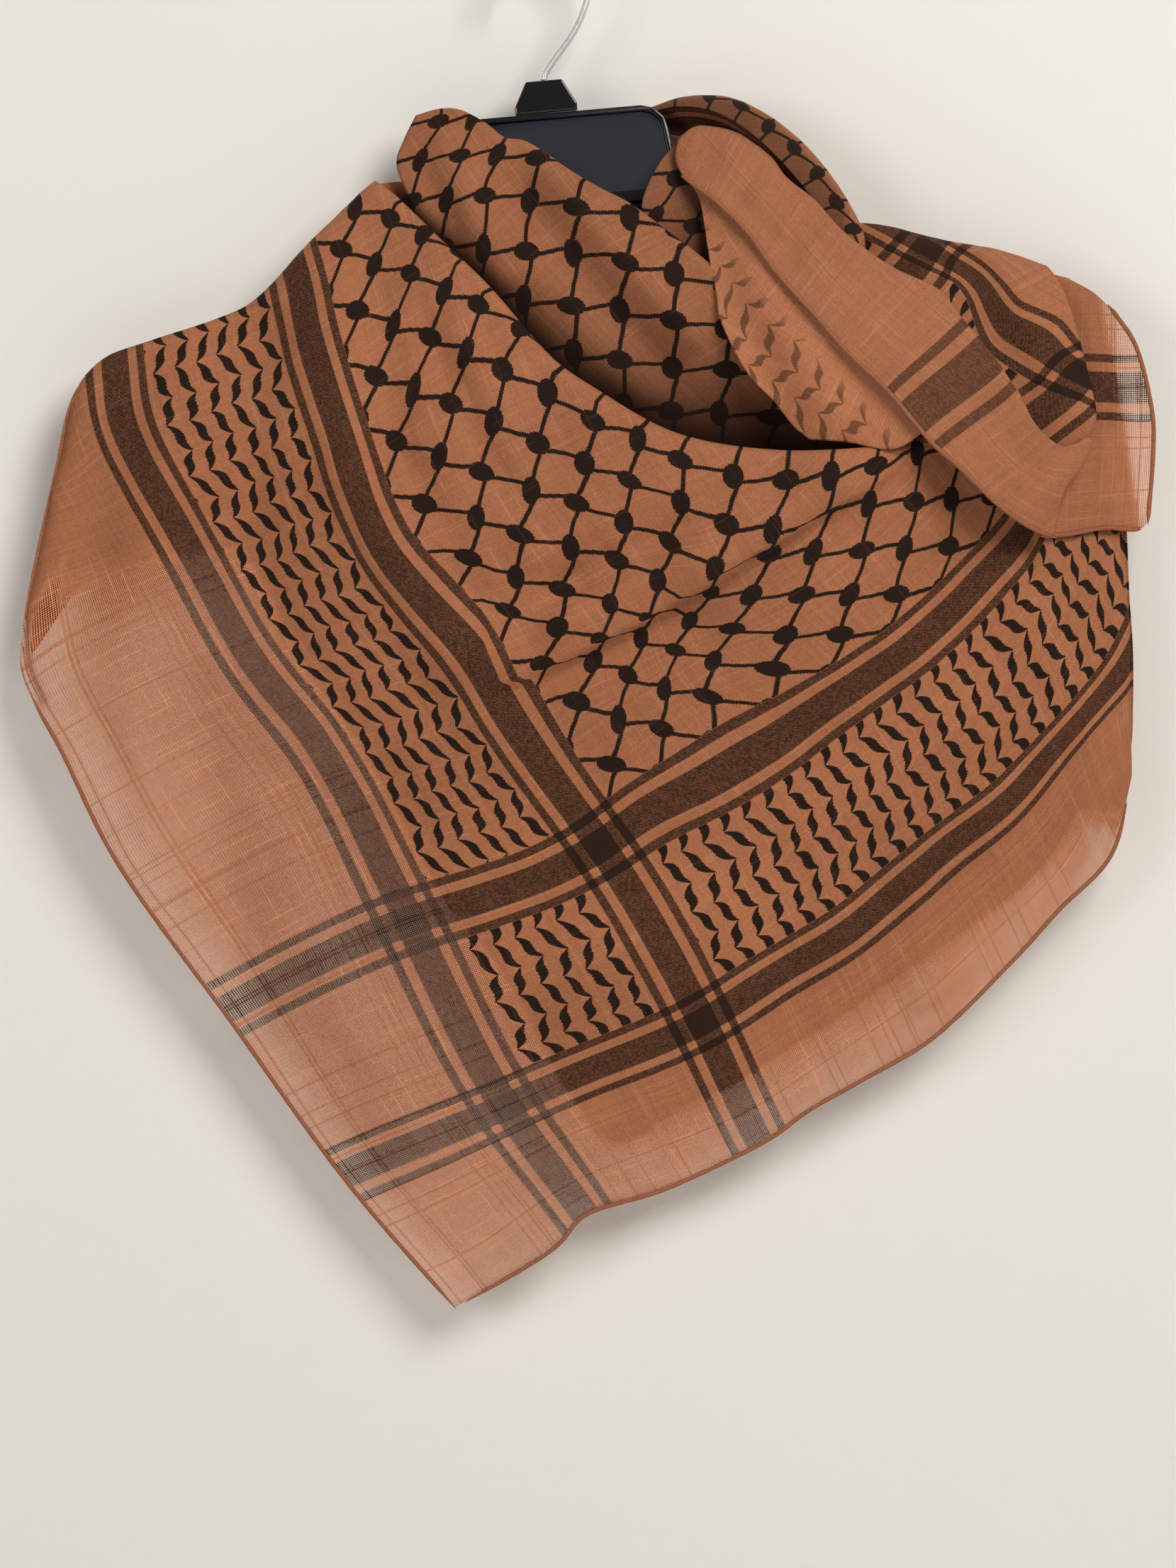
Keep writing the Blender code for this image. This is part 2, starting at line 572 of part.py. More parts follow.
SHOULDER_TOP = (
    (138.5, -118, 5), (148, -119, 5), (161, -122, 5), (181, -126, 5), (191, -128, 5.5), (201.5, -131, 7),
    (212, -135, 8.5))
SHOULDER_RIGHT = (
    (228.5, -211.5, 17.5), (232, -201, 19), (230.5, -190, 18), (227.5, -176, 16), (223, -159, 14.5),
    (218.5, -145.5, 11.5), (212, -135, 8.5))
SHOULDER_LEFT = ((148, -150, 21), (142, -134, 12), (138.5, -118, 5))
SHOULDER_FOOT = ((148, -150, 21), (166, -165, 24), (186, -192, 25), (208, -214, 22), (228.5, -211.5, 17.5))
SHOULDER_FOLDS = ((170, -124, 205, -200, 12, -3.0), (190, -130, 220, -195, 9, 3.0),
                  (150, -122, 175, -160, 9, 2.5))


def shoulder_grid(columns, rows):
    grid = patch(SHOULDER_LEFT, SHOULDER_RIGHT, SHOULDER_FOOT, SHOULDER_TOP,
                 even(columns), edged(rows, 0.02, 0.08))
    x, z = grid[..., 0], grid[..., 1]
    grid[..., 2] += folds(SHOULDER_FOLDS, x, z)
    grid[..., 2] += 6 - quarter_drop(distance_to(along(SHOULDER_TOP, even(20)), x, z), 6)
    return grid


# Shoulder tail: the hemmed corner that hangs behind the round end

TAIL_LEFT = ((208, -250.5, 0), (213, -222, 0), (217, -190, 0), (213, -168, 0), (212, -146, 0))
TAIL_RIGHT = (
    (254, -244.5, 0), (256, -215, 0), (255.5, -197, 0), (249.5, -171.5, 0), (241, -157, 0),
    (231.5, -148, 0), (220, -144, 0))
TAIL_FOOT = ((208, -250.5, 0), (221.5, -249, 0), (235, -246.5, 0), (250, -247, 0), (254, -244.5, 0))
TAIL_LIFTS = (         # x, z, how far the tail stands off the front drape
    (208, -250, 0.5), (254, -246, 2.5), (256, -200, 4.0), (240, -157, 3.0), (212, -140, 0.5),
    (217, -190, 1.2), (235, -200, 4.0), (232, -235, 2.5))
TAIL_FOLDS = ((228, -150, 238, -235, 7, 2.0), (240, -160, 248, -235, 6, -1.2))

tail_lift = height_field(TAIL_LIFTS)


def tail_grid(columns, rows):
    head = (TAIL_LEFT[-1], TAIL_RIGHT[-1])
    grid = patch(TAIL_LEFT, TAIL_RIGHT, TAIL_FOOT, head, even(columns), even(rows))
    x, z = grid[..., 0], grid[..., 1]
    grid[..., 2] = front_depth(x, z)
    stand_off = WALL + LAYER + np.maximum(tail_lift(x, z), 0) + np.maximum(folds(TAIL_FOLDS, x, z), -1)
    return grid + normals(grid) * stand_off[..., None]


# Back drape: the cloth that has gone over both shoulders and behind the hanger

BACK_LEFT = (          # x, z: just behind the near layer's turned side
    (-219, -300), (-215, -261), (-206, -221), (-199, -191))
BACK_TOP = (
    (-199, -191), (-188, -175), (-165, -166), (-138, -157), (-120, -148), (-96, -123), (-72, -100),
    (-40, -99), (0, -94), (50, -89), (88, -91), (98, -96), (106, -106), (116, -119), (128, -126),
    (142, -120), (161, -123), (191, -129), (213, -136), (227, -151), (237, -181))
BACK_RIGHT = ((247, -345), (247, -303), (245, -273), (244, -250), (242, -215), (237, -181))
BACK_TURNS = (7, 15)   # rows of its top edge between which it doesn't turn forward
BACK_FOOT = (
    (-219, -300), (-185, -255), (-130, -215), (-60, -190), (20, -178), (100, -190), (170, -235),
    (220, -300), (247, -345))
BACK_FOLDS = ((-150, -180, -120, -215, 14, -3.0), (-90, -140, -40, -180, 14, -2.5),
              (150, -140, 175, -215, 14, -3.0), (60, -150, 110, -190, 12, -2.5))
BACK_TURN = 4.9        # radius at which it comes over the arms


def back_grid(columns, rows):
    """Its outer face looks at the wall, close behind the arms; its sides turn forward over them."""
    grid = patch(BACK_LEFT, BACK_RIGHT, BACK_FOOT, BACK_TOP, edged(columns), edged(rows, 0.02, 0.08))
    x, z = grid[..., 0], grid[..., 1]
    level = HANGER_DEPTH / 2 + LAYER + WALL + 0.2
    left = along(BACK_LEFT + BACK_TOP[1:BACK_TURNS[0]], even(40))
    right = along(BACK_TOP[BACK_TURNS[1]:] + BACK_RIGHT[-2::-1], even(40))
    distance = np.minimum(distance_to(left, x, z), distance_to(right, x, z))
    turn = quarter_drop(distance, BACK_TURN)
    return np.dstack([x, z, turn - level + folds(BACK_FOLDS, x, z)])


def build():
    black = finish("hanger_plastic", BLACK, 0.25)
    steel = finish("hook_steel", STEEL, 0.3, 1.0)
    cotton = finish("scarf_cotton", RUST, 0.85)
    rolled = finish("hem_cotton", HEM_RUST, 0.85)

    hanger_body(black)
    hook_collar(black)
    hook(steel)

    near, lip = front_grid(34, 34)
    cloth("front_drape", np.vstack([near, lip]), cotton)
    cloth("far_layer", far_grid(near, 25, 20), cotton)
    cloth("upper_cowl", cowl_grid(22, 9), cotton)
    cloth("neck_strip", strip_grid(6, 8), cotton)
    cloth("neck_roll", roll_grid(12, 20), cotton)
    cloth("roll_curl", curl_grid(6, 20), cotton)
    flap = flap_grid(24, 9)
    cloth("end_flap", flap, cotton)
    cloth("end_flap_underside", under_grid(8, 14), cotton)
    cloth("shoulder_fold", shoulder_grid(14, 12), cotton)
    tail = tail_grid(9, 13)
    cloth("shoulder_tail", tail, cotton)
    cloth("back_drape", back_grid(30, 9), cotton, faces_back=True)

    left, foot = near[:, 0], near[0]
    hem("hem_left", left[:18], away_from(left, near[:, 1])[:18], rolled)
    hem("hem_lower_right", foot[1:-2], away_from(foot, near[1])[1:-2], rolled)
    hem("hem_flap", flap[0], away_from(flap[0], flap[1]), rolled)
    right, bottom = tail[:, -1], tail[0]
    hem("hem_tail_side", right[:11], away_from(right, tail[:, -2])[:11], rolled)
    hem("hem_tail_foot", bottom[:-1], away_from(bottom, tail[1])[:-1], rolled)


build()
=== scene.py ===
"""Keffiyeh headscarf wound round the neck of a plastic hanger, hung in front of a plain wall.

Tables hold millimetres: x is to the right, z is up, forward is how far a point stands in front of the
hanger's middle plane. Cloth coordinates a and b are millimetres in from two neighbouring hems.
"""

import math

import bmesh
import bpy
import numpy as np
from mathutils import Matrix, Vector, noise


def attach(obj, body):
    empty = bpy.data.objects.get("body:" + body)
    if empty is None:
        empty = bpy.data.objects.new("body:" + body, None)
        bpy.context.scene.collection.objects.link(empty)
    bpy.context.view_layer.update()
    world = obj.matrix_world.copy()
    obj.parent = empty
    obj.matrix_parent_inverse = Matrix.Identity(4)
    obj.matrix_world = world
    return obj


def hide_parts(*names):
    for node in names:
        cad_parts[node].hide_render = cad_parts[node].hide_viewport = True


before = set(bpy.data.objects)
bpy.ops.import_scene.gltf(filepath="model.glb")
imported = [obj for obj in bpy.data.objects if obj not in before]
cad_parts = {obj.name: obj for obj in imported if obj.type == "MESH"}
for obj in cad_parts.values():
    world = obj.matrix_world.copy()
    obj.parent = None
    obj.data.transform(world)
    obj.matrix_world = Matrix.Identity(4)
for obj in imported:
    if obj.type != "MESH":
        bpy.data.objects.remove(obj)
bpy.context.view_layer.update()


# Hook
# A wire of zinc-plated steel about 3 mm thick, bent round a former into an open hook. Its foot goes
# through the size collar into the hanger's moulding.

MM = 0.001
WIRE_RADIUS = 1.5
HOOK_RADIUS = 18.5             # to the middle of the wire
HOOK_SWEEP = (-24, 192)        # degrees, from the end of the foot round to the tip
HOOK_FOOT = (                  # x, z
    (-0.49, -55.9), (0.3, -52.4), (3.3, -47.6), (7.4, -42.0), (11.5, -36.2), (14.7, -30.3))
HOOK_TIP = (0.98, 0.9, 0.72, 0.4)      # the last sections, in shares of the wire's radius
HOOK_SECTIONS = 140


def travelled(points, axis=0):
    """Distance along rows of points, from 0 at the first; the points follow one another on this axis."""
    steps = np.linalg.norm(np.diff(points, axis=axis), axis=-1)
    return np.insert(np.cumsum(steps, axis=axis), 0, 0, axis=axis)


def headings(line):
    run = np.gradient(line, axis=0)
    return run / np.linalg.norm(run, axis=1, keepdims=True)


def along(rows, where):
    """Points at the given shares of the length of a smooth line through a table's rows."""
    knots = np.array(rows, float)
    ends = np.vstack([2 * knots[0] - knots[1], knots, 2 * knots[-1] - knots[-2]])
    steps = np.linspace(0, 1, 24, endpoint=False)[:, None]
    fine = []
    for before, start, end, after in zip(ends, ends[1:], ends[2:], ends[3:]):
        fine.append(start
                    + steps * (end - before) / 2
                    + steps ** 2 * (before - 2.5 * start + 2 * end - after / 2)
                    + steps ** 3 * (1.5 * (start - end) + (after - before) / 2))
    fine = np.vstack([*fine, knots[-1:]])
    length = travelled(fine)
    return np.stack([np.interp(np.array(where) * length[-1], length, axis) for axis in fine.T], 1)


def even(count):
    return np.linspace(0, 1, count)


def placed(name, data):
    piece = bpy.data.objects.new(name, data)
    bpy.context.scene.collection.objects.link(piece)
    return piece


def shown(name, mesh, *materials):
    """Puts a mesh in the scene, smooth, riding on the hanger's body."""
    for material in materials:
        mesh.materials.append(material)
    mesh.shade_smooth()
    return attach(placed(name, mesh), "root")


def new_node(tree, kind, mode=None, **inputs):
    """A node whose inputs are given as plain values or as the sockets that feed them."""
    made = tree.nodes.new(kind)
    if mode:
        made.mode = mode
    for name, value in inputs.items():
        socket = made.inputs[name.replace("_", " ")]
        if isinstance(value, bpy.types.NodeSocket):
            tree.links.new(value, socket)
        else:
            socket.default_value = value
    return made


def grain(tree, scale, detail=2):
    """Fine noise through a piece's own space."""
    place = new_node(tree, "ShaderNodeTexCoord").outputs["Object"]
    return new_node(tree, "ShaderNodeTexNoise", Vector=place, Scale=scale, Detail=detail).outputs["Fac"]


def plain(name, colour, roughness, **more):
    """A material of one Principled shader."""
    material = bpy.data.materials.new(name)
    material.use_nodes = True
    shader = material.node_tree.nodes["Principled BSDF"]
    shader.inputs["Base Color"].default_value = (*colour, 1)
    shader.inputs["Roughness"].default_value = roughness
    for socket, value in more.items():
        shader.inputs[socket.replace("_", " ")].default_value = value
    return material, material.node_tree, shader


def wire(name, line, radii, sides):
    """A tube in the hanger's middle plane."""
    run = headings(line)
    across = np.stack([run[:, 1], -run[:, 0]], 1)
    corners = []
    for (x, z), (ox, oz), radius in zip(line, across, radii):
        for turn in np.linspace(0, 2 * math.pi, sides, endpoint=False):
            out, depth = radius * math.cos(turn), radius * math.sin(turn)
            corners.append(((x + ox * out) * MM, depth * MM, (z + oz * out) * MM))
    faces = []
    for ring in range(len(line) - 1):
        for side in range(sides):
            low, high = ring * sides + side, ring * sides + (side + 1) % sides
            faces.append((low, high, high + sides, low + sides))
    faces.append(tuple(reversed(range(sides))))
    faces.append(tuple(range(len(corners) - sides, len(corners))))
    mesh = bpy.data.meshes.new(name)
    mesh.from_pydata(corners, [], faces)
    return mesh


def outward(mesh):
    form = bmesh.new()
    form.from_mesh(mesh)
    bmesh.ops.recalc_face_normals(form, faces=form.faces)
    form.to_mesh(mesh)
    form.free()
    return mesh


turns = np.radians(np.linspace(*HOOK_SWEEP, 13))
middle = WIRE_RADIUS - HOOK_RADIUS
hook_ring = [(HOOK_RADIUS * math.cos(turn), middle + HOOK_RADIUS * math.sin(turn)) for turn in turns]
hook_line = along([*HOOK_FOOT, *hook_ring], even(HOOK_SECTIONS))
hook_radii = np.full(HOOK_SECTIONS, WIRE_RADIUS)
hook_radii[-len(HOOK_TIP):] = WIRE_RADIUS * np.array(HOOK_TIP)
steel, tree, shader = plain("zinc_plated_wire", (0.78, 0.775, 0.75), 0.26, Metallic=0.6)
polish = new_node(tree, "ShaderNodeMapRange", Value=grain(tree, 420, 4), To_Min=0.18, To_Max=0.42)
tree.links.new(polish.outputs["Result"], shader.inputs["Roughness"])
hook = shown("hook_wire", outward(wire("hook_wire", hook_line, hook_radii, 20)), steel)
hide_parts("hook")


# Hanger
# One gloss black moulding with a raised rim round its panels, and a size collar of the same plastic
# pushed over the foot of the hook.

PANEL_DEPTH = 1.4              # from the middle plane to the floor of a panel
EDGE_ROUNDING = 0.45


def dented(tree, shader, height, strength, distance):
    """Lets a height roughen the look of a surface."""
    bump = new_node(tree, "ShaderNodeBump", Height=height, Strength=strength, Distance=distance * MM)
    tree.links.new(bump.outputs["Normal"], shader.inputs["Normal"])


black, tree, shader = plain("gloss_black_plastic", (0.006, 0.006, 0.007), 0.16)
dented(tree, shader, grain(tree, 900), 0.05, 0.3)
panel = plain("panel_plastic", (0.016, 0.019, 0.027), 0.32)[0]
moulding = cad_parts["hanger_body"].data.copy()
form = bmesh.new()
form.from_mesh(moulding)
bmesh.ops.remove_doubles(form, verts=form.verts, dist=1e-6)
bmesh.ops.dissolve_limit(form, angle_limit=math.radians(0.5), verts=form.verts, edges=form.edges)
form.to_mesh(moulding)
form.free()
moulding.materials.clear()
body = shown("hanger_moulding", moulding, black, panel)
for face in moulding.polygons:
    in_panel = abs(face.normal.y) > 0.98 and abs(face.center.y) < PANEL_DEPTH * MM
    face.material_index = 1 if in_panel else 0
rounding = body.modifiers.new("rounded edges", "BEVEL")
rounding.width = EDGE_ROUNDING * MM
rounding.segments = 3
rounding.limit_method = "ANGLE"
rounding.angle_limit = math.radians(28)
rounding.harden_normals = False
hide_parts("hanger_body")
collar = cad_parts["hook_collar"]
collar.data.materials.clear()
collar.data.materials.append(black)


# Back drape
# Two layers of cotton voile that have gone over both shoulders and hang behind the hanger. The cloth is
# woven rust orange with near-black bands and printed with the net and the leaves; it lies on the arms.

BORDER_MIDDLE = 115.5          # middle of the leaf strip, in from the hem
BAND_APART = 44.0              # from there to the middle of each band
CORE = 6.25                    # half width of a band's core
LINE_MIDDLE = 11.95            # from a band's middle to its thin line
LINE_HALF = 1.75
BAND_DEPTH = 0.83              # how far the near-black yarns cover a band
BAND_TWILL = 0.05
NET_START = 173.2
NET_STEP = 19.8                # between the net's nodes
NET_ORIGIN = 15.4
NET_LINE = 0.92                # half width of the printed lines
KNOT_SIZE = (5.7, 3.9, 1.0)    # half sizes of every other oval node
KNOT_CHANGE = (-1.9, 2.0, 0.0)         # and what the nodes between them add to that
STRIP_HALF = 30.3
LEAF_PITCH = 9.8
LEAF_HEIGHTS = (12.6, 10.7)    # of the two strokes that take turns in a chain
LEAF_LEANS = (7.1, 6.6)
LEAF_WAVE = 1.05
LEAF_WIDTH = 2.05
YARN = 0.8                     # from one yarn to the next
SLUB_YARNS = 0.22              # share of the yarns that carry slubs
SLUB_SHARE = 0.10              # how far a slub shows its pale yarn
THICK_YARNS = 0.07
PORE = 0.375                   # above this openness, light passes between the yarns
# how far the painted shade of a hollow darkens the cloth at its deepest
PAINTED_SHADE_DEPTH = 0.94
RUST = (0.445, 0.167, 0.079)
PALE_YARN = (0.80, 0.46, 0.29)
INK = (0.015, 0.0075, 0.005)


def operator(operation, swapped=False):
    """Arithmetic between a Term and another value, as a node of this operation."""
    if swapped:
        return lambda one, two: term(operation, two, one)
    return lambda one, two: term(operation, one, two)


class Term:
    """A number or a vector in a node tree, so that its formulas read as arithmetic."""

    def __init__(self, socket):
        self.socket = socket

    __add__, __radd__ = operator("ADD"), operator("ADD", swapped=True)
    __sub__, __rsub__ = operator("SUBTRACT"), operator("SUBTRACT", swapped=True)
    __mul__, __rmul__ = operator("MULTIPLY"), operator("MULTIPLY", swapped=True)
    __truediv__ = operator("DIVIDE")
    __mod__ = operator("FLOORED_MODULO")
    __pow__ = operator("POWER")

    def __abs__(self):
        return term("ABSOLUTE", self)


def term(operation, *values):
    linked = [value for value in values if isinstance(value, Term)]
    tree = linked[0].socket.id_data
    vector = any(isinstance(value, tuple) for value in values)
    vector = vector or any(value.socket.type == "VECTOR" for value in linked)
    node = tree.nodes.new("ShaderNodeVectorMath" if vector else "ShaderNodeMath")
    node.operation = operation
    for slot, value in zip(node.inputs, values):
        if isinstance(value, Term):
            tree.links.new(value.socket, slot)
        elif vector and not isinstance(value, tuple):
            slot.default_value = (value, value, value)
        else:
            slot.default_value = value
    return Term(node.outputs["Value"] if operation == "LENGTH" else node.outputs[0])


def split(vector):
    parts = new_node(vector.socket.id_data, "ShaderNodeSeparateXYZ", Vector=vector.socket).outputs
    return Term(parts["X"]), Term(parts["Y"])


def joined(x, y):
    both = new_node(x.socket.id_data, "ShaderNodeCombineXYZ", X=x.socket, Y=y.socket)
    return Term(both.outputs["Vector"])


def within(value, edge, soft=0.25):
    """1 where the value, or each part of a vector, is below the edge and 0 above it."""
    tree = value.socket.id_data
    node = tree.nodes.new("ShaderNodeMapRange")
    node.interpolation_type = "SMOOTHSTEP"
    vector = value.socket.type == "VECTOR"
    node.data_type = "FLOAT_VECTOR" if vector else "FLOAT"
    slots = [slot for slot in node.inputs if slot.enabled]
    tree.links.new(value.socket, slots[0])
    for slot, limit in zip(slots[1:], (edge - soft, edge + soft, 1, 0)):
        slot.default_value = (limit, limit, limit) if vector else limit
    return Term(next(slot for slot in node.outputs if slot.enabled))


def clouds(place, scale, detail):
    """Noise from 0 to 1 over the cloth, with its own scale along a and b."""
    scaled = place * (*scale, 0.0)
    made = new_node(place.socket.id_data, "ShaderNodeTexNoise", Vector=scaled.socket, Scale=1, Detail=detail)
    made.noise_dimensions = "2D"
    return Term(made.outputs["Fac"])


def chance(value):
    """A random number from 0 to 1 for each yarn's number, or for each pair of them."""
    tree = value.socket.id_data
    pair = value.socket.type == "VECTOR"
    made = tree.nodes.new("ShaderNodeTexWhiteNoise")
    made.noise_dimensions = "2D" if pair else "1D"
    tree.links.new(value.socket, made.inputs["Vector" if pair else "W"])
    return Term(made.outputs["Value"])


def blended(tree, share, first, second):
    """Two colours mixed; each is a socket or a plain colour."""
    node = tree.nodes.new("ShaderNodeMix")
    node.data_type = "RGBA"
    tree.links.new(share.socket, node.inputs["Factor"])
    for slot, colour in ((node.inputs[6], first), (node.inputs[7], second)):
        if isinstance(colour, tuple):
            slot.default_value = (*colour, 1)
        else:
            tree.links.new(colour, slot)
    return node.outputs[2]


def woven_pattern():
    """Node group: the whole square's weave and print from its own cloth coordinates."""
    group = bpy.data.node_groups.new("keffiyeh_square", "ShaderNodeTree")
    for name, value in (("Print", 1.0), ("Openness", 0.9), ("Shade", 1.0)):
        port = group.interface.new_socket(name=name, in_out="INPUT", socket_type="NodeSocketFloat")
        port.default_value = value
    for name, kind in (("Colour", "Color"), ("Alpha", "Float"), ("Height", "Float")):
        group.interface.new_socket(name=name, in_out="OUTPUT", socket_type="NodeSocket" + kind)
    given = group.nodes.new("NodeGroupInput").outputs
    inked, shade, passing = Term(given["Print"]), Term(given["Shade"]), Term(given["Openness"])
    uv = group.nodes.new("ShaderNodeUVMap")
    uv.uv_map = "cloth"
    place = Term(uv.outputs["UV"]) * (1000.0, 1000.0, 0.0)
    a, b = split(place)

    # The yarns' own relief, and how they differ
    weave = place * (math.pi / YARN)
    sine_a, sine_b = split(term("SINE", weave))
    over = sine_a * sine_b
    relief = abs(over)
    weave_a, weave_b = split(weave)
    twill = term("SINE", weave_a + weave_b)
    speck = chance(term("FLOOR", place / YARN))
    yarn_a = chance(term("FLOOR", a / YARN))
    yarn_b = chance(term("FLOOR", b / YARN) + 500.0)

    # Woven bands, straight across the square in both directions
    from_strip = abs(place - BORDER_MIDDLE)
    off = abs(from_strip - BAND_APART)
    bands = term("MAXIMUM", within(off, CORE), within(abs(off - LINE_MIDDLE), LINE_HALF))
    warp, weft = split(bands)
    woven = BAND_DEPTH * (warp + weft) + BAND_TWILL * twill * (warp - weft)
    woven = term("MINIMUM", woven * (1.08 - 0.2 * speck), 0.97)

    # Printed net: oval nodes on a slanted square lattice, joined by crooked lines
    ragged = 0.22 * over
    sway = 0.7 * term("SINE", joined(b, a) * 0.2 + 1.4 * term("SINE", place * (0.083, 0.071, 0.0)))
    pa, pb = split(place + sway)
    step = math.sqrt(0.5) / NET_STEP
    lattice = joined((pa - pb) * step, (pa + pb) * step - NET_ORIGIN * math.sqrt(2) / NET_STEP)
    cell = term("FLOOR", lattice + 0.5)
    away = (lattice - cell) * NET_STEP
    column, row = split(cell)
    odd = (column + row) % 2
    knots = within(term("LENGTH", away / (odd * KNOT_CHANGE + KNOT_SIZE)) + 0.2 * ragged, 1.0, 0.05)
    run_s, run_t = split(term("FRACTION", lattice))
    line_s, line_t = split(abs(away - (joined(run_t, run_s) * (2.8, 4.6, 0.0) - (0.5, 2.3, 0.0))))
    lines = within(term("MINIMUM", line_s, line_t) + ragged, NET_LINE)
    outer_a, outer_b = split(within(place, NET_START))
    inner_a, inner_b = 1 - outer_a, 1 - outer_b
    net = term("MAXIMUM", knots, lines) * inner_a * inner_b

    # Printed leaves: bent strokes in chains between the two bands
    period = sum(LEAF_HEIGHTS)
    height = (period * 100 - pb) % period
    first = term("LESS_THAN", height, LEAF_HEIGHTS[0])
    second = 1 - first
    share = first * (height / LEAF_HEIGHTS[0]) + second * ((height - LEAF_HEIGHTS[0]) / LEAF_HEIGHTS[1])
    bow = term("MAXIMUM", term("SINE", share * math.pi), 0.0)
    wave = LEAF_WAVE * term("SINE", share * (2 * math.pi))
    side = pa - (first * (LEAF_LEANS[0] * share + wave)
                 + second * (LEAF_LEANS[1] - LEAF_LEANS[1] * share - wave))
    aside = abs((side + LEAF_PITCH / 2) % LEAF_PITCH - LEAF_PITCH / 2)
    stroke = within(aside + ragged - LEAF_WIDTH * bow ** 0.55 * (0.25 + 0.75 * inked), 0.0)
    strip_a, strip_b = split(within(from_strip, STRIP_HALF))
    leaves = stroke * (strip_a * (strip_b + inner_b) + inner_a * strip_b)
    printed = term("MAXIMUM", net, leaves)

    # Colour: each yarn a little different, with pale slubs along some of them, under the print. The yarns'
    # crowns are painted lighter and the dips between them darker: painted shade of the weave's relief.
    def slubs(yarn, scale):
        return within(1 - yarn, SLUB_YARNS, 0.03) * within(clouds(place, scale, 0), 0.36, 0.06)

    slub = term("MAXIMUM", slubs(yarn_a, (0.9, 0.05)), slubs(yarn_b, (0.05, 0.9)))
    thick = term("MAXIMUM", within(yarn_a, THICK_YARNS, 0.02), within(yarn_b, THICK_YARNS, 0.02))
    faded = clouds(place, (0.012, 0.012), 1)
    uneven = 0.08 * (yarn_a + yarn_b) + 0.34 * faded + 0.16 * speck + 0.67
    lightness = shade * (0.76 + 0.38 * relief) * uneven * (1 - (0.03 + 0.15 * passing) * thick)
    lit = group.nodes.new("ShaderNodeVectorMath")
    lit.operation = "SCALE"
    group.links.new(blended(group, slub * SLUB_SHARE, RUST, PALE_YARN), lit.inputs[0])
    group.links.new(lightness.socket, lit.inputs["Scale"])
    darkness = term("MAXIMUM", woven, printed * (0.99 - 0.05 * slub)) * inked
    colour = blended(group, darkness, lit.outputs[0], INK)

    # Openness: the pores between the yarns, smaller beside slubs, thick yarns and print
    cosine_a, cosine_b = split(abs(term("COSINE", weave)))
    openness = (passing * (1 - 0.45 * slub) * (1 - 0.4 * thick)
                * (0.70 + 0.28 * faded + 0.16 * (yarn_a + yarn_b)) * (1 - 0.75 * printed))
    alpha = within(cosine_a * cosine_b * openness, PORE, 0.06)
    new_node(group, "NodeGroupOutput", Colour=colour, Alpha=alpha.socket, Height=relief.socket)
    return group


SQUARE = woven_pattern()


def cotton(name, openness, shade=1.0, print_strength=1.0):
    """Cotton voile; openness is how far light passes between its yarns, 0 where cloth lies on cloth. Shade
    is painted light: it makes this copy of the cotton lighter or darker than the others.
    """
    material, tree, shader = plain(name, RUST, 0.85, Sheen_Weight=0.03, Sheen_Roughness=0.5,
                                   Sheen_Tint=(1.0, 0.72, 0.56, 1), Specular_IOR_Level=0.1)
    pattern = tree.nodes.new("ShaderNodeGroup")
    pattern.node_tree = SQUARE
    pattern.inputs["Openness"].default_value = openness

    def mark(name):
        made = tree.nodes.new("ShaderNodeAttribute")
        made.attribute_name = name
        return Term(made.outputs["Fac"])

    ink = (1 - mark("washed")) * print_strength
    # Painted shade: the cloth's colour is darkened where it lies in a hollow.
    light = (1 - PAINTED_SHADE_DEPTH * mark("hollow")) * shade
    dented(tree, shader, pattern.outputs["Height"], 0.35, 0.2)
    tree.links.new(pattern.outputs["Colour"], shader.inputs["Base Color"])
    if openness:
        bare = mark("bare")
        # Painted light: bare voile is painted lighter, standing in for the light that comes through it, and
        # voile with cloth behind it is painted darker.
        light = light * (0.38 * bare + 0.62)
        tree.links.new((bare * openness).socket, pattern.inputs["Openness"])
        tree.links.new(pattern.outputs["Alpha"], shader.inputs["Alpha"])
    tree.links.new(ink.socket, pattern.inputs["Print"])
    tree.links.new(light.socket, pattern.inputs["Shade"])
    return material


# Each copy's shade is painted light: the single voile is painted lighter, for the light that comes through
# one layer, and cloth on cloth is painted darker.
SINGLE = cotton("voile_single", 1.0, 1.43)
SINGLE_WRONG = cotton("voile_single_wrong_side", 1.0, 1.28, 0.6)
DOUBLED = cotton("voile_doubled", 0.0, 0.86)
DOUBLED_WRONG = cotton("voile_doubled_wrong_side", 0.0, 0.82, 0.5)
WALL = 1.2                     # thickness that a stretch of cloth takes up in the winding
LAYER = 0.5                    # air between one stretch and the next
SHELL = 0.45                   # thickness of the cloth itself


def height_field(rows, column=2):
    """A smooth value over x and z that passes through one column of each row of a table."""
    rows = np.array(rows, float)
    places, heights = rows[:, :2] / 100, rows[:, column]

    def bend(distance):
        return distance ** 2 * np.log(np.maximum(distance, 1e-9))

    count = len(rows)
    plane = np.column_stack([np.ones(count), places])
    system = np.zeros((count + 3, count + 3))
    system[:count, :count] = bend(np.linalg.norm(places[:, None] - places[None], axis=2))
    system[:count, count:] = plane
    system[count:, :count] = plane.T
    weights = np.linalg.solve(system, np.concatenate([heights, np.zeros(3)]))

    def height(x, z):
        point = np.stack([x, z], -1) / 100
        distance = np.linalg.norm(point[..., None, :] - places, axis=-1)
        return (bend(distance) @ weights[:count] + weights[count]
                + point @ weights[count + 1:])

    return height


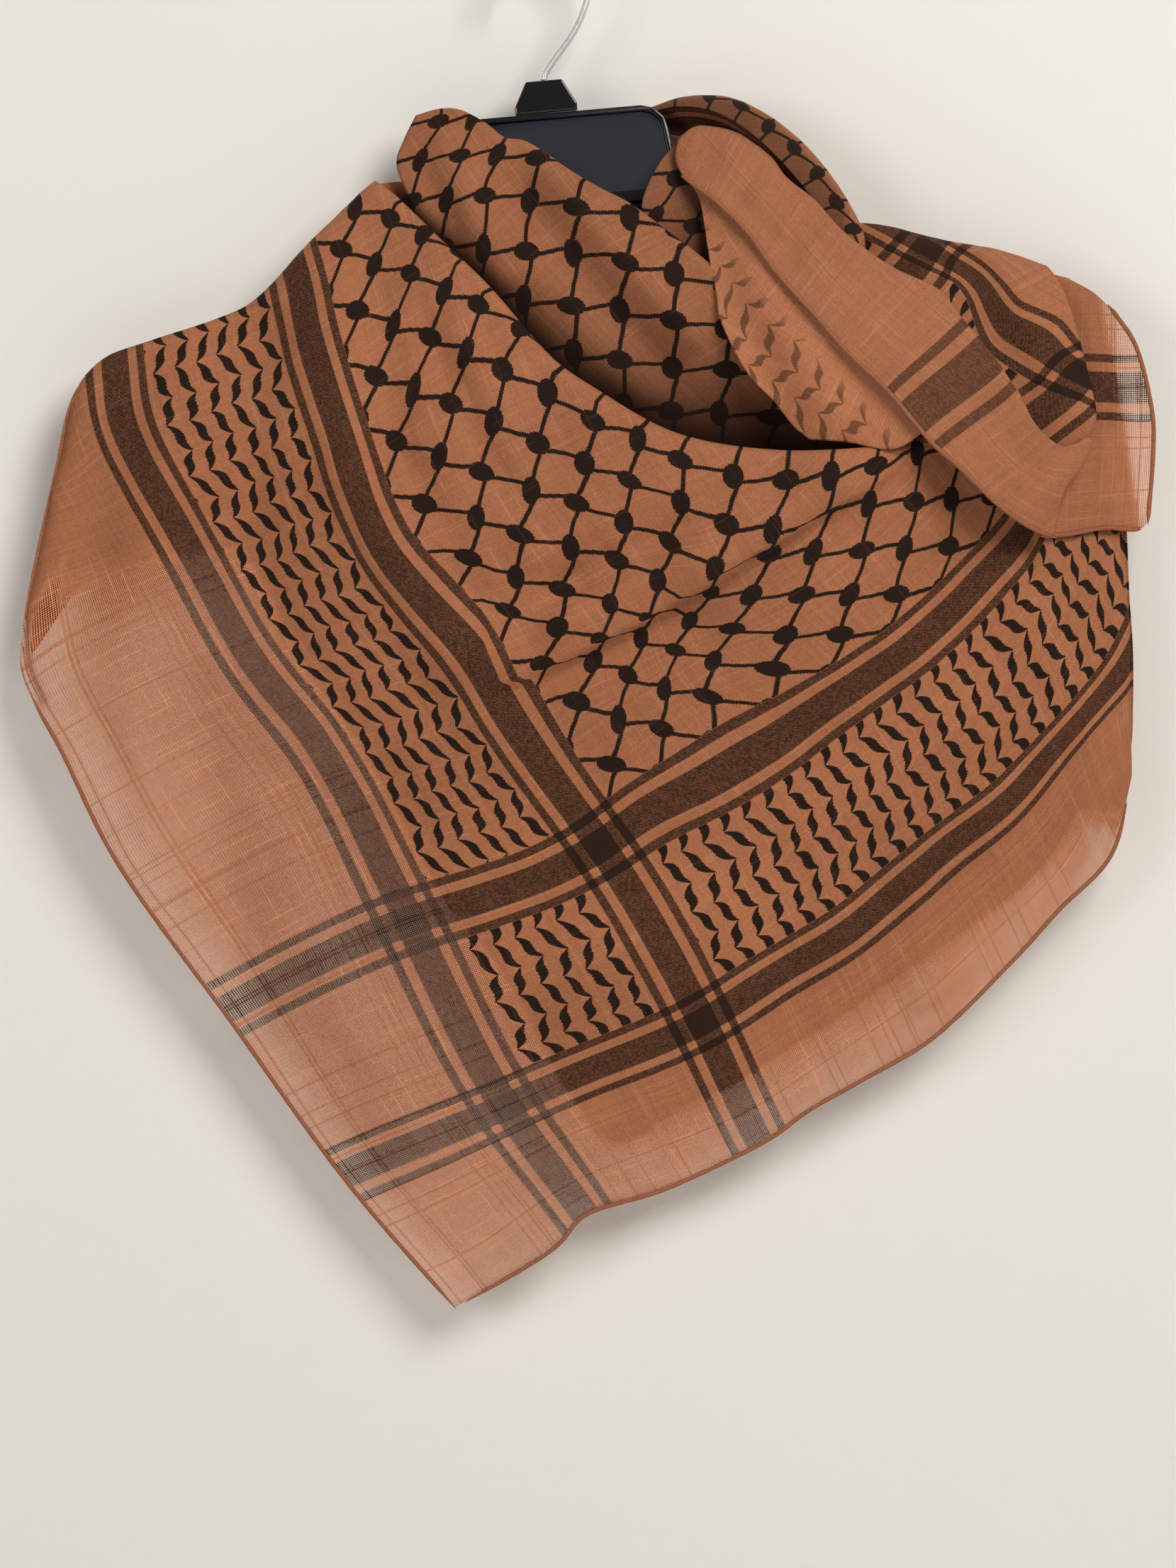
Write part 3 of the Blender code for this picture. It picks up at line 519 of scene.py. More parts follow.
def coordinates(table, grid):
    """Cloth coordinates over a grid, through a table of x, z, a, b."""
    x, z = grid[..., 0], grid[..., 1]
    return np.stack([height_field(table, 2)(x, z), height_field(table, 3)(x, z)], -1)


def folds(table, x, z):
    """The sum of soft ridges and troughs, each along a straight line from start to end."""
    total = np.zeros_like(x)
    for x0, z0, x1, z1, width, height in table:
        run = np.array([x1 - x0, z1 - z0])
        share = np.clip(((x - x0) * run[0] + (z - z0) * run[1]) / (run @ run), 0, 1)
        away = np.hypot(x - x0 - share * run[0], z - z0 - share * run[1])
        total += height * np.exp(-(away / width) ** 2)
    return total


def patch(left, right, bottom, top, across, up):
    """A sheet that fills four edges; across and up are the shares at which its lines run."""
    u, v = np.array(across)[None, :, None], np.array(up)[:, None, None]
    left, right = along(left, up)[:, None], along(right, up)[:, None]
    bottom, top = along(bottom, across)[None], along(top, across)[None]
    corners = ((1 - u) * (1 - v) * left[0, 0] + u * (1 - v) * right[0, 0]
               + (1 - u) * v * left[-1, 0] + u * v * right[-1, 0])
    return (1 - u) * left + u * right + (1 - v) * bottom + v * top - corners


def rising(value, start, length):
    """0 up to the start, then evenly up to 1 over this length."""
    return np.clip((value - start) / length, 0, 1)


def edged(count, share=0.014, lines=6):
    """Shares from 0 to 1 with more lines close beside each end, where a sheet turns."""
    start = share * np.linspace(0, 1, lines) ** 1.5
    return np.concatenate([start, np.linspace(share, 1 - share, count - 2 * lines + 2)[1:-1],
                           1 - start[::-1]])


def normals(grid):
    facing = np.cross(np.gradient(grid, axis=1), np.gradient(grid, axis=0))
    return facing / np.maximum(np.linalg.norm(facing, axis=2, keepdims=True), 1e-9)


def quarter_drop(distance, radius):
    """How far a sheet that turns back at an edge has dropped, at this distance inside the edge."""
    inside = np.clip(1 - distance / radius, 0, 1)
    return radius * (1 - np.sqrt(1 - inside ** 2))


def distance_to(line, x, z):
    best = np.full(x.shape, np.inf)
    for (x0, z0), (x1, z1) in zip(line[:-1, :2], line[1:, :2]):
        run = np.array([x1 - x0, z1 - z0])
        share = np.clip(((x - x0) * run[0] + (z - z0) * run[1]) / max(run @ run, 1e-9), 0, 1)
        best = np.minimum(best, np.hypot(x - x0 - share * run[0], z - z0 - share * run[1]))
    return best


def crumpled(grid, ab, amount, size=16.0, seed=0.0):
    """Small uneven wrinkles that follow the cloth; the outline keeps its place."""
    rows, columns = grid.shape[:2]
    push = np.zeros((rows, columns))
    for row in range(rows):
        for column in range(columns):
            a, b = ab[row, column] / size
            push[row, column] = (noise.noise(Vector((a, b * 0.6, seed)))
                                 + 0.4 * noise.noise(Vector((a * 2.3, b * 1.7, seed + 7))))
    moved = grid.copy()
    moved += normals(grid) * (push * amount)[..., None]
    return moved


def smallest_rectangle(flat):
    """Width and length of the smallest rectangle from which a stretch of cloth can be cut."""
    sizes = []
    for turn in np.radians(np.arange(0, 90, 5)):
        along_it = flat @ np.array([[math.cos(turn), -math.sin(turn)], [math.sin(turn), math.cos(turn)]])
        sizes.append(sorted(float(size) for size in np.ptp(along_it, axis=0)))
    return min(sizes, key=lambda size: size[0] * size[1])


def cloth(name, grid, ab, materials, held, rests_on, faces_back=False, **marks):
    """A thin shell of cloth whose outer face is the grid; ab are its cloth coordinates. Its marks run
    from 0 to 1: bare where no other cloth lies behind it, so that light passes between its yarns and it is
    painted lighter; a painted shade, where the shade that falls in hollows between layers is painted into
    its colour; and washed where the print hasn't come through."""
    rows, columns = grid.shape[:2]
    corners = np.stack([grid[..., 0], -grid[..., 2], grid[..., 1]], -1).reshape(-1, 3) * MM
    first = (np.arange(rows - 1)[:, None] * columns + np.arange(columns - 1)).reshape(-1, 1)
    quads = first + np.array([0, 1, columns + 1, columns])
    if faces_back:
        quads = quads[:, ::-1]
    mesh = bpy.data.meshes.new(name)
    mesh.from_pydata(corners.tolist(), [], quads.tolist())
    flat = ab.reshape(-1, 2) * MM
    layer = mesh.uv_layers.new(name="cloth")
    layer.data.foreach_set("uv", flat[quads.reshape(-1)].astype(np.float32).reshape(-1))
    for mark, share in marks.items():
        layer = mesh.attributes.new(mark, "FLOAT", "POINT")
        layer.data.foreach_set("value", share.astype(np.float32).reshape(-1))
    piece = shown(name, mesh, *materials)
    thickness = piece.modifiers.new("thickness", "SOLIDIFY")
    thickness.thickness = SHELL * MM
    thickness.offset = -1
    thickness.material_offset = 1
    thickness.use_quality_normals = True
    one, two = flat[quads[:, 2]] - flat[quads[:, 0]], flat[quads[:, 3]] - flat[quads[:, 1]]
    area = float(np.abs(one[:, 0] * two[:, 1] - one[:, 1] * two[:, 0]).sum() / 2)
    width, length = smallest_rectangle(flat)
    return piece


BACK_LEFT = ((-219, -300), (-215, -261), (-206, -221), (-199, -191))
BACK_TOP = (
    (-199, -191), (-188, -175), (-165, -166), (-138, -157), (-120, -148), (-96, -123), (-72, -100),
    (-40, -99), (0, -94), (50, -89), (88, -91), (98, -96), (106, -106), (116, -119), (128, -126),
    (142, -120), (161, -123), (191, -129), (213, -136), (227, -151), (237, -181))
BACK_RIGHT = ((247, -345), (247, -303), (245, -273), (244, -250), (242, -215), (237, -181))
BACK_TURNS = (7, 15)           # rows of its top edge between which it doesn't turn forward
BACK_FOOT = (
    (-219, -300), (-185, -255), (-130, -215), (-60, -190), (20, -178), (100, -190), (170, -235),
    (220, -300), (247, -345))
BACK_FOLDS = ((-150, -180, -120, -215, 14, -3.0), (-90, -140, -40, -180, 14, -2.5),
              (150, -140, 175, -215, 14, -3.0), (60, -150, 110, -190, 12, -2.5))
BACK_TURN = 4.9
BACK_LEVEL = 5.4
BACK_CLOTH = 430               # a and b at the hook, and how they grow across the back
BACK_SPREAD = 0.72
grid = patch(BACK_LEFT, BACK_RIGHT, BACK_FOOT, BACK_TOP, edged(150), edged(44, 0.08, 8))
x, z = grid[..., 0], grid[..., 1]
left = along(BACK_LEFT + BACK_TOP[1:BACK_TURNS[0]], even(60))
right = along(BACK_TOP[BACK_TURNS[1]:] + BACK_RIGHT[-2::-1], even(60))
turn = quarter_drop(np.minimum(distance_to(left, x, z), distance_to(right, x, z)), BACK_TURN)
grid = np.dstack([x, z, turn - BACK_LEVEL + folds(BACK_FOLDS, x, z)])
ab = np.stack([BACK_CLOTH + BACK_SPREAD * (x + z), BACK_CLOTH + BACK_SPREAD * (z - x)], -1)
cloth_back = cloth("cloth_back", crumpled(grid, ab, 0.35, seed=3), ab, (DOUBLED, DOUBLED_WRONG), "draped",
                   ["hanger_moulding"], faces_back=True)
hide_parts("back_drape")


# Front drape
# The near layer of the folded square, single voile: it hangs from both shoulders to its free corner, with
# one pleat across it and a rounded fold along its top. Held only by the winding round the neck.

FRONT_LEFT = (
    (-38, -577), (-84, -523), (-132, -456), (-179, -390), (-204, -340), (-220, -310), (-221, -292),
    (-216, -261), (-207, -221), (-200, -191), (-188, -174), (-165, -165), (-138, -156), (-121, -147),
    (-97, -122), (-72, -99))
FRONT_HEM = (
    (-38, -577), (2, -553), (18, -537), (52, -526), (92, -507), (112, -493), (135, -480), (165, -462),
    (198, -430), (218, -408), (240, -385), (249, -352))
FRONT_RIGHT = ((249, -352), (249, -303), (247, -273), (246, -250), (244, -215), (238, -180), (233, -163))
FRONT_FOLD = (
    (-72, -99), (-62, -107), (-42, -127), (-22, -147), (2, -175), (22, -190), (56, -209), (98, -216),
    (140, -214), (175, -204), (206, -186), (233, -163))
FRONT_DEPTHS = (               # x, z, forward
    (-38, -579, 2), (-132, -456, 4), (-180, -390, 6), (-218, -308, 8), (-206, -222, 8),
    (-195, -185, 8.6), (-160, -168, 8.5), (-121, -152, 9.6), (-72, -100, 13), (-30, -141, 31),
    (10, -181, 43), (57, -211, 53), (100, -218, 55), (145, -214, 50), (190, -195, 25),
    (233, -163, 7.5), (247, -250, 7.5), (249, -330, 6.5), (205, -425, 4), (110, -497, 4),
    (15, -300, 37), (0, -420, 16), (-110, -260, 19), (150, -330, 22))
FRONT_FOLDS = (                # x0, z0, x1, z1, width, height of each ridge or trough
    (-22, -302, 10, -286, 9, 3.5), (10, -286, 62, -261, 10, 4.5), (62, -261, 118, -229, 11, 4.5),
    (118, -229, 165, -207, 11, 3.0), (-10, -292, 12, -270, 8, -3.5), (12, -270, 56, -250, 8, -3.5),
    (56, -250, 98, -231, 8, -2.5), (-37, -276, -5, -258, 9, 2.5), (-5, -258, 45, -230, 9, 2.5),
    (-15, -322, 66, -290, 12, -3.5), (66, -290, 130, -253, 12, -4.0),
    (-92, -135, -84, -225, 13, 5.0), (-84, -225, -40, -300, 13, 4.5), (-40, -300, -12, -345, 13, 3.0),
    (-72, -150, -60, -220, 9, -3.5), (-60, -220, -30, -275, 9, -2.5),
    (-120, -165, -126, -245, 12, -4.0), (-126, -245, -110, -300, 12, -2.5),
    (-155, -182, -172, -262, 12, 3.5), (-188, -215, -196, -290, 10, -2.5),
    (-38, -165, -5, -228, 9, 3.0), (-50, -158, -22, -225, 8, -2.5),
    (200, -262, 228, -335, 10, 3.5), (172, -262, 202, -345, 10, -3.5), (140, -262, 170, -335, 11, 2.5),
    (60, -410, 38, -520, 13, 3.0), (100, -390, 112, -470, 12, -3.0), (150, -370, 165, -440, 12, 3.0),
    (-110, -380, -60, -500, 14, 3.0), (-150, -320, -130, -420, 13, -3.0), (-60, -370, -30, -450, 12, -2.0),
    (-175, -330, -165, -370, 10, 2.0), (0, -400, -12, -500, 12, -2.5))
PLEAT = ((-25, -314.8), (1.7, -306.5), (58.3, -278.2), (118.3, -241.5), (151.7, -223.2))
PLEAT_TUCK = 8.5               # what the pleat swallows of a and of b
PLEAT_FLAT = 12                # how far from the line all of it stays swallowed
PLEAT_FADE = 60
PLEAT_LIP = 4.2                # how far the upper cloth stands up at the line, and how wide
PLEAT_LIP_ABOVE = 8
PLEAT_LIP_BELOW = 1.3
PLEAT_UNDER = 2.0              # how deep the groove below it is
PLEAT_UNDER_HALF = 4
SIDE_TURN = 6.5
SHOULDER_START = 46            # of ninety points up the left edge, the first that lies on the shoulder
LIP = (                        # back, inwards: the fold's section in shares of its radius
    (0, 0), (0.13, -0.5), (0.5, -0.87), (1.0, -1.0), (1.5, -0.87), (1.87, -0.5), (2.0, 0.0), (2.05, 1.6),
    (2.1, 3.2))
FRONT_PLACES = (               # x, z, a, b
    (-38, -578, 0, 0), (-84, -524, 0, 68), (-132, -456, 0, 153), (-180, -391, 0, 234),
    (-205, -341, 0, 290), (-223, -308, 0, 328), (-217, -261, 8, 363), (-208, -221, 34, 408),
    (-197, -183, 55, 428), (-18, -568, 23, 0), (18, -539, 71.5, 0), (92, -509, 159.5, 0),
    (135, -481, 211, 0), (172, -455, 256, 0), (198, -431, 291, 0), (235, -391, 345, 0),
    (251, -355, 385, 0), (250, -305, 397, 66), (247, -251, 428, 99),
    (-16.7, -491.8, 71.5, 71.5), (66.7, -455.5, 159.5, 71.5), (-57, -412.5, 71.5, 159.5),
    (23.7, -380.8, 159.5, 159.5),
    (-69, -387.8, 71.5, 187), (-81.3, -361.8, 71.5, 216), (-100.3, -330.8, 71.5, 252),
    (-119.3, -308.2, 71.5, 282), (-140, -273.5, 71.5, 322), (-157.3, -242.5, 71.5, 358),
    (-179.7, -199.2, 71.5, 408), (-182.3, -174.8, 71.5, 432),
    (-1.7, -346.2, 159.5, 202), (-17, -323.8, 159.5, 230), (-48.3, -280.5, 159.5, 283),
    (-65.7, -259.5, 159.5, 310), (-76, -238.8, 159.5, 333), (-84.7, -211.5, 159.5, 362),
    (-101, -159.2, 159.5, 417), (-103.7, -143.8, 159.5, 433),
    (98, -435.5, 197, 71.5), (127, -418.2, 230, 71.5), (156.3, -393.5, 269, 71.5),
    (178.3, -375.8, 297, 71.5), (200, -358.5, 325, 71.5), (229, -325.2, 369, 71.5),
    (39.7, -368.8, 180, 159.5), (68.7, -353.8, 212, 159.5), (98, -336.5, 246, 159.5),
    (119.7, -320.5, 273, 159.5), (141.7, -305.8, 300, 159.5), (163.7, -288.5, 328, 159.5),
    (185.3, -266.5, 358, 159.5), (200, -250.5, 380, 159.5),
    (47.9, -270.1, 253.4, 253.4), (56, -237.2, 281.4, 281.4), (27.6, -279.8, 225.4, 253.4),
    (-12.4, -269.1, 197.4, 281.4), (-31.4, -259.9, 183.4, 295.4), (10.5, -255.8, 225.4, 281.4),
    (-29.3, -243.2, 197.4, 309.4), (68.3, -273.7, 267.4, 239.4), (57, -220.6, 295.4, 295.4),
    (99.6, -228.9, 323.4, 267.4), (20.6, -203, 267.4, 323.4), (-17, -181.7, 239.4, 351.4),
    (-48.5, -167.4, 211.4, 379.4), (-56.9, -140.4, 211.4, 407.4), (-50.9, -123.3, 225.4, 421.4),
    (31.5, -327.4, 197.4, 197.4), (48.8, -332, 211.4, 183.4), (13.3, -320.1, 183.4, 211.4),
    (34.8, -309.6, 211.4, 211.4), (70.2, -302.5, 253.4, 197.4), (61.2, -286.7, 253.4, 225.4),
    (24, -295.3, 211.4, 239.4), (-15, -282.5, 183.4, 267.4))

front_ground = height_field(FRONT_DEPTHS)
pleat_line = along(PLEAT, even(50))


def above_pleat(x, z):
    """Signed distance above the pleat, and a share that fades at both its ends."""
    away = distance_to(pleat_line, x, z)
    sign = np.where(z > np.interp(x, pleat_line[:, 0], pleat_line[:, 1]), 1.0, -1.0)
    share = np.clip((x - pleat_line[0, 0]) / (pleat_line[-1, 0] - pleat_line[0, 0]), 0, 1)
    return sign * away, np.sin(math.pi * np.clip(share * 1.02, 0, 1)) ** 0.6


def tuck(x, z):
    """What the pleat has swallowed: nothing below it, all of it just above it."""
    high, strength = above_pleat(x, z)
    near = np.exp(-(np.maximum(np.abs(high) - PLEAT_FLAT, 0) / PLEAT_FADE) ** 2)
    return PLEAT_TUCK * strength * near * rising(high, -0.6, 1.2)


def front_depth(x, z):
    return front_ground(x, z) + folds(FRONT_FOLDS, x, z)


def front_crease(x, z):
    """The pleat's overlapping lip: it stands up above the line and drops steeply below it."""
    high, strength = above_pleat(x, z)
    lip = np.exp(-(high / np.where(high > 0, PLEAT_LIP_ABOVE, PLEAT_LIP_BELOW)) ** 2)
    groove = np.where(high < 0, np.exp(-((high + PLEAT_UNDER_HALF) / PLEAT_UNDER_HALF) ** 2), 0)
    return strength * (PLEAT_LIP * lip - PLEAT_UNDER * groove)


def set_in(line, distance):
    """A fold's line moved inside the sheet, and the direction in which it moved."""
    run = headings(line[:, :2])
    inward = np.stack([run[:, 1], -run[:, 0]], 1)
    moved = line.copy()
    moved[:, :2] += inward * distance[:, None]
    return moved, inward


def with_lip(grid, ab, sheet, inward, radius, section):
    """The sheet with its last row rolled back over itself, and the cloth coordinates of both."""
    lip = []
    for back, inwards in section[1:]:
        row = grid[-1].copy()
        row[:, :2] += inward * (radius * inwards)[:, None]
        row[:, 2] -= radius * back
        lip.append(row)
    rolled = (travelled(section)[1:, None] * radius)[..., None] * math.sqrt(0.5)
    return np.vstack([sheet, lip]), np.vstack([ab, ab[-1][None] + rolled])


def side_drop(x, z):
    """How far the cloth has turned back beside the left shoulder and the right edge."""
    drop = quarter_drop(distance_to(shoulder, x, z), SIDE_TURN)
    return np.maximum(drop, quarter_drop(distance_to(side, x, z), SIDE_TURN - 1.5))


shoulder = along(FRONT_LEFT, even(90))[SHOULDER_START:]
side = along(FRONT_RIGHT, even(40))
across = edged(186)
radius = 1.9 + 2.9 * np.sin(math.pi * np.clip(across * 1.05, 0, 1)) ** 0.8
fold, inward = set_in(along(FRONT_FOLD, across), radius)
grid = patch(FRONT_LEFT, FRONT_RIGHT, FRONT_HEM, fold, across, even(176))
grid[-1] = fold
x, z = grid[..., 0], grid[..., 1]
grid = np.dstack([x, z, front_depth(x, z) + front_crease(x, z) - side_drop(x, z)])
table = np.array(FRONT_PLACES, float)
table[:, 2:] -= tuck(table[:, 0], table[:, 1])[:, None]
ab = coordinates(table, grid) + tuck(x, z)[..., None]
front = crumpled(grid, ab, 1.2, size=20.0, seed=1)
front[:, [0, -1]] = grid[:, [0, -1]]
front[0] = grid[0]
whole, whole_ab = with_lip(grid, ab, front, inward, radius, along(LIP, even(26)))
FAR_LEFT = ((-206, -279), (-199, -225), (-188, -192))
FAR_HEM = (
    (-206, -279), (-190, -269), (-162, -260), (-133, -257), (-124, -264), (-107, -298), (-76, -344),
    (-48, -395), (-14, -442), (8, -482), (29, -508), (56, -495), (92, -476), (115, -462), (170, -424),
    (212, -390), (238, -345))
FAR_TOP = (
    (-188, -192), (-160, -177), (-120, -162), (-78, -148), (-40, -150), (0, -187), (56, -221),
    (98, -229), (140, -228), (190, -222), (222, -205))
FAR_RIGHT = ((238, -345), (240, -300), (236, -250), (222, -205))
SEEN_FADE = 12                 # how far the see-through cloth takes to fade in
SEEN_FROM_BACK = -22           # where it starts: below the foot of the back drape
SEEN_FROM_FOLD = 32            # away from the rounded fold along the top
SHUT_SIDE = (212, -376)        # right of this x and above this z it stays shut


def depth_inside(outline, x, z):
    """How far a point lies inside a closed line; below zero outside it."""
    enclosed = np.zeros(x.shape, bool)
    for (x0, z0), (x1, z1) in zip(outline[:-1, :2], outline[1:, :2]):
        rise = z1 - z0 if abs(z1 - z0) > 1e-9 else 1e-9
        enclosed ^= ((z0 > z) != (z1 > z)) & (x < x0 + (x1 - x0) * (z - z0) / rise)
    return np.where(enclosed, 1, -1) * distance_to(outline, x, z)


back_foot = along(BACK_FOOT, even(60))
far_outline = np.vstack([
    along(FAR_HEM, even(80)), along(FAR_RIGHT, even(20)), along(FAR_TOP, even(40))[::-1],
    along(FAR_LEFT, even(20))[::-1]])


def below_back(x, z):
    """1 where no cloth of the back drape lies behind."""
    return rising(np.interp(x, back_foot[:, 0], back_foot[:, 1]) - z, SEEN_FROM_BACK, SEEN_FADE)


# Where it is bare the voile is see-through and painted lighter; elsewhere it is closed and painted darker.
bare = np.minimum(below_back(x, z), 1 - rising(depth_inside(far_outline, x, z), -1.5, 3))
bare = np.minimum(bare, rising(distance_to(along(FRONT_FOLD, even(60)), x, z), SEEN_FROM_FOLD, 6))
shut = rising(x, SHUT_SIDE[0], SEEN_FADE) * rising(z, SHUT_SIDE[1], SEEN_FADE)
bare = np.minimum(bare, 1 - shut)
bare = np.vstack([bare, np.zeros((len(whole) - len(front), len(across)))])
cloth_front = cloth("cloth_front", whole, whole_ab, (SINGLE, SINGLE_WRONG), "draped", ["hanger_moulding"],
                    bare=bare)
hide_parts("front_drape")


# Far layer
# The other half of the folded square, single voile of the same cotton. It hangs close behind the near
# layer, joined to it along the fold at the top.

FAR_LAYER = 0.9                # air between the two layers
FAR_REACH = 8.0                # it lies behind all of the near layer this far round each point
FAR_PLACES = (                 # x, z, a, b
    (29, -508, 0, 0), (-14, -442, 0, 79), (-76, -344, 0, 195), (-107, -298, 0, 250), (-133, -257, 0, 300),
    (-206, -279, -60, 340), (92, -476, 70, 0), (170, -424, 164, 0), (238, -345, 268, 0),
    (60, -330, 125, 124), (0, -230, 132, 240), (180, -260, 264, 108), (-150, -180, 20, 400))
grid = patch(FAR_LEFT, FAR_RIGHT, FAR_HEM, FAR_TOP, even(120), even(90))
x, z = grid[..., 0], grid[..., 1]
around = []
for right, up in ((0, 0), (FAR_REACH, 0), (-FAR_REACH, 0), (0, FAR_REACH), (0, -FAR_REACH)):
    beside = (x + right, z + up)
    around.append(front_depth(*beside) + np.minimum(front_crease(*beside), 0) - side_drop(*beside))
grid = np.dstack([x, z, np.min(around, axis=0)])
ab = coordinates(FAR_PLACES, grid)
grid -= normals(grid) * (WALL + FAR_LAYER)
cloth_far = cloth("cloth_far", crumpled(grid, ab, 0.3, seed=5), ab, (SINGLE, SINGLE_WRONG), "draped",
                  ["hanger_moulding"], bare=below_back(x, z))
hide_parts("far_layer")


# Upper cowl
# The swag in front of the neck plate, cotton on cotton. Its upper edge is a soft rolled fold, and its foot
# goes down behind the top fold of the front drape.

COWL_LEFT = ((-50, -128, 6.5), (-57, -108, 5.5), (-63, -92, 4), (-60, -81, 3), (-55, -71, 3))
COWL_TOP = (
    (-55, -71, 3), (-45, -68.5, 6), (-36, -69, 9), (-25, -75, 13), (-17, -81.5, 16), (-7, -84, 19),
    (10, -96, 23), (23, -104, 26), (36, -111, 29), (50, -121.5, 31), (65, -133, 32), (95, -158, 33),
    (125, -182, 31), (150, -192, 26))
COWL_RIGHT = ((150, -236, 14), (151, -215, 17), (150, -192, 22))
COWL_FOOT = (
    (-50, -128, 6.5), (-25, -166, 11), (15, -205, 12), (57, -230, 9), (105, -238, 9), (150, -236, 14))
COWL_FOLDS = ((-45, -78, -20, -140, 9, 3.5), (-50, -95, -35, -128, 7, -2.5),
              (0, -95, 60, -165, 9, 4.0), (-8, -110, 50, -180, 9, -3.5),
              (-5, -140, 40, -190, 10, 2.5), (20, -130, 100, -185, 20, 5.0))
COWL_LIP = 2.4                 # radius of the rolled fold, smaller near its left end
COWL_PAINTED_SHADE = ((-60, 4), (15, 12), (90, 29), (150, 26))       # x, how far up the painted shade of the hollow reaches
COWL_PLACES = (                # x, z, a, b
    (-7.8, -129.8, 295.4, 351.4), (33.9, -135.8, 323.4, 323.4), (54.3, -141.9, 337.4, 309.4),
    (-25.9, -128.5, 281.4, 365.4), (-25.4, -106.7, 295.4, 379.4), (13.1, -111.9, 323.4, 351.4),
    (35.4, -117.8, 337.4, 337.4), (-2.8, -90.9, 323.4, 379.4), (-36.5, -89.1, 295.4, 407.4),
    (-52.2, -90, 281.4, 421.4), (-45.7, -74.3, 295.4, 435.4), (-8.7, -151.1, 281.4, 337.4),
    (31.7, -155.8, 309.4, 309.4), (76.5, -164.1, 337.4, 281.4), (12, -173.3, 281.4, 309.4),
    (53.9, -179.3, 309.4, 281.4), (75.6, -180.8, 323.4, 267.4))
radius = COWL_LIP * np.clip(even(130) / 0.07, 0.1, 1)
fold, inward = set_in(along(COWL_TOP, even(130)), radius)
grid = patch(COWL_LEFT, COWL_RIGHT, COWL_FOOT, fold, even(130), even(60))
grid[-1] = fold
grid[..., 2] += folds(COWL_FOLDS, grid[..., 0], grid[..., 1])
ab = coordinates(COWL_PLACES, grid)
whole, whole_ab = with_lip(grid, ab, crumpled(grid, ab, 0.35, seed=8), inward, radius,
                           along(LIP[:7], even(16)))
x, z = whole[..., 0], whole[..., 1]
# Painted shade: the cowl is darkened a little all over, and deeply in the hollow under the front drape's top
# fold.
reach = np.interp(x, *zip(*COWL_PAINTED_SHADE))
hollow = 0.1 + 0.9 * np.exp(-(distance_to(along(FRONT_FOLD, even(60)), x, z) / reach) ** 2)
cloth_cowl = cloth("cloth_cowl", whole, whole_ab, (DOUBLED, DOUBLED_WRONG), "draped",
                   ["hanger_moulding", "cloth_front"], hollow=hollow)
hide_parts("upper_cowl")


# Neck strip
# Gathered cotton that rises from the cowl beside the neck plate and goes in under the end flap, which
# holds it.

STRIP_PAINTED_SHADE = (0.32, 0.77)    # how deep the painted shade is from x = 50 to x = 68
STRIP_LEFT = ((46, -128, 24.5), (41, -111, 18.5), (48, -93, 11.5), (56, -83, 6.5))
STRIP_RIGHT = ((70, -148, 25.0), (74, -127, 18.5), (77, -101, 11), (76, -84, 7))
STRIP_PLACES = (               # x, z, a, b
    (47.3, -115.3, 253.4, 253.4), (62.2, -119.4, 267.4, 239.4), (55.5, -98.9, 267.4, 267.4),
    (70, -103, 281.4, 253.4))
grid = patch(STRIP_LEFT, STRIP_RIGHT, (STRIP_LEFT[0], (56, -136, 25.5), STRIP_RIGHT[0]),
             (STRIP_LEFT[-1], STRIP_RIGHT[-1]), even(30), even(50))
ab = coordinates(STRIP_PLACES, grid)
# Painted shade: the strip is darker towards the end flap, under which it goes.
hollow = np.interp(grid[..., 0], (50, 68), STRIP_PAINTED_SHADE)
cloth_strip = cloth("cloth_neck_strip", crumpled(grid, ab, 0.25, seed=12), ab, (DOUBLED, DOUBLED_WRONG),
                    "gathered", ["hanger_moulding"], hollow=hollow)
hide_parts("neck_strip")


# Neck roll
# The gathered bundle of cotton that comes from behind the neck plate and falls over the right shoulder.
# Its front rim turns in on itself, so that the woven band shows along its inner face.

ROLL = (                       # crest x, z, degrees it faces, radius, forward, degrees back and front
    (41, -66.5, 98, 9, -16.5, -96, 40), (58, -62.2, 86, 13, -6, -96, 52), (75, -62.5, 76, 15, 1, -96, 66),
    (90, -68.5, 62, 16, 6, -96, 74), (105, -79.5, 50, 17, 9.9, -94, 78), (118, -93.0, 40, 17, 9.9, -88, 80),
    (129, -109, 28, 16.5, 9, -78, 80), (134.5, -121.5, 15, 15, 12.5, -26, 78),
    (135.5, -134, 6, 13, 14, -18, 76))
CURL_FOOT = (
    (50, -76, -13), (60, -80, -6), (76, -84, 0), (90, -95, 4), (103, -110, 7), (114, -124, 10),
    (124, -138, 13))
STATIONS = 110
ROLL_CLOTH = (346.6, -97)      # cloth round it and along it, where both are measured from
ROLL_GATHER = 1.3              # cloth along the roll for each millimetre of it
CURL_SAG = 8.0
CURL_CLOTH = (210, 173)        # a and b at the inner face's upper corner
stations = along(ROLL, even(STATIONS))


def roll_sections(columns):
    sections = []
    for x, z, facing, radius, forward, back, front_turn in stations:
        turn = np.radians(np.linspace(back, front_turn, columns))
        reach = radius * (np.cos(turn) - 1)
        facing = math.radians(facing)
        sections.append(np.stack([x + math.cos(facing) * reach, z + math.sin(facing) * reach,
                                  forward + radius * np.sin(turn)], 1))
    return np.array(sections)


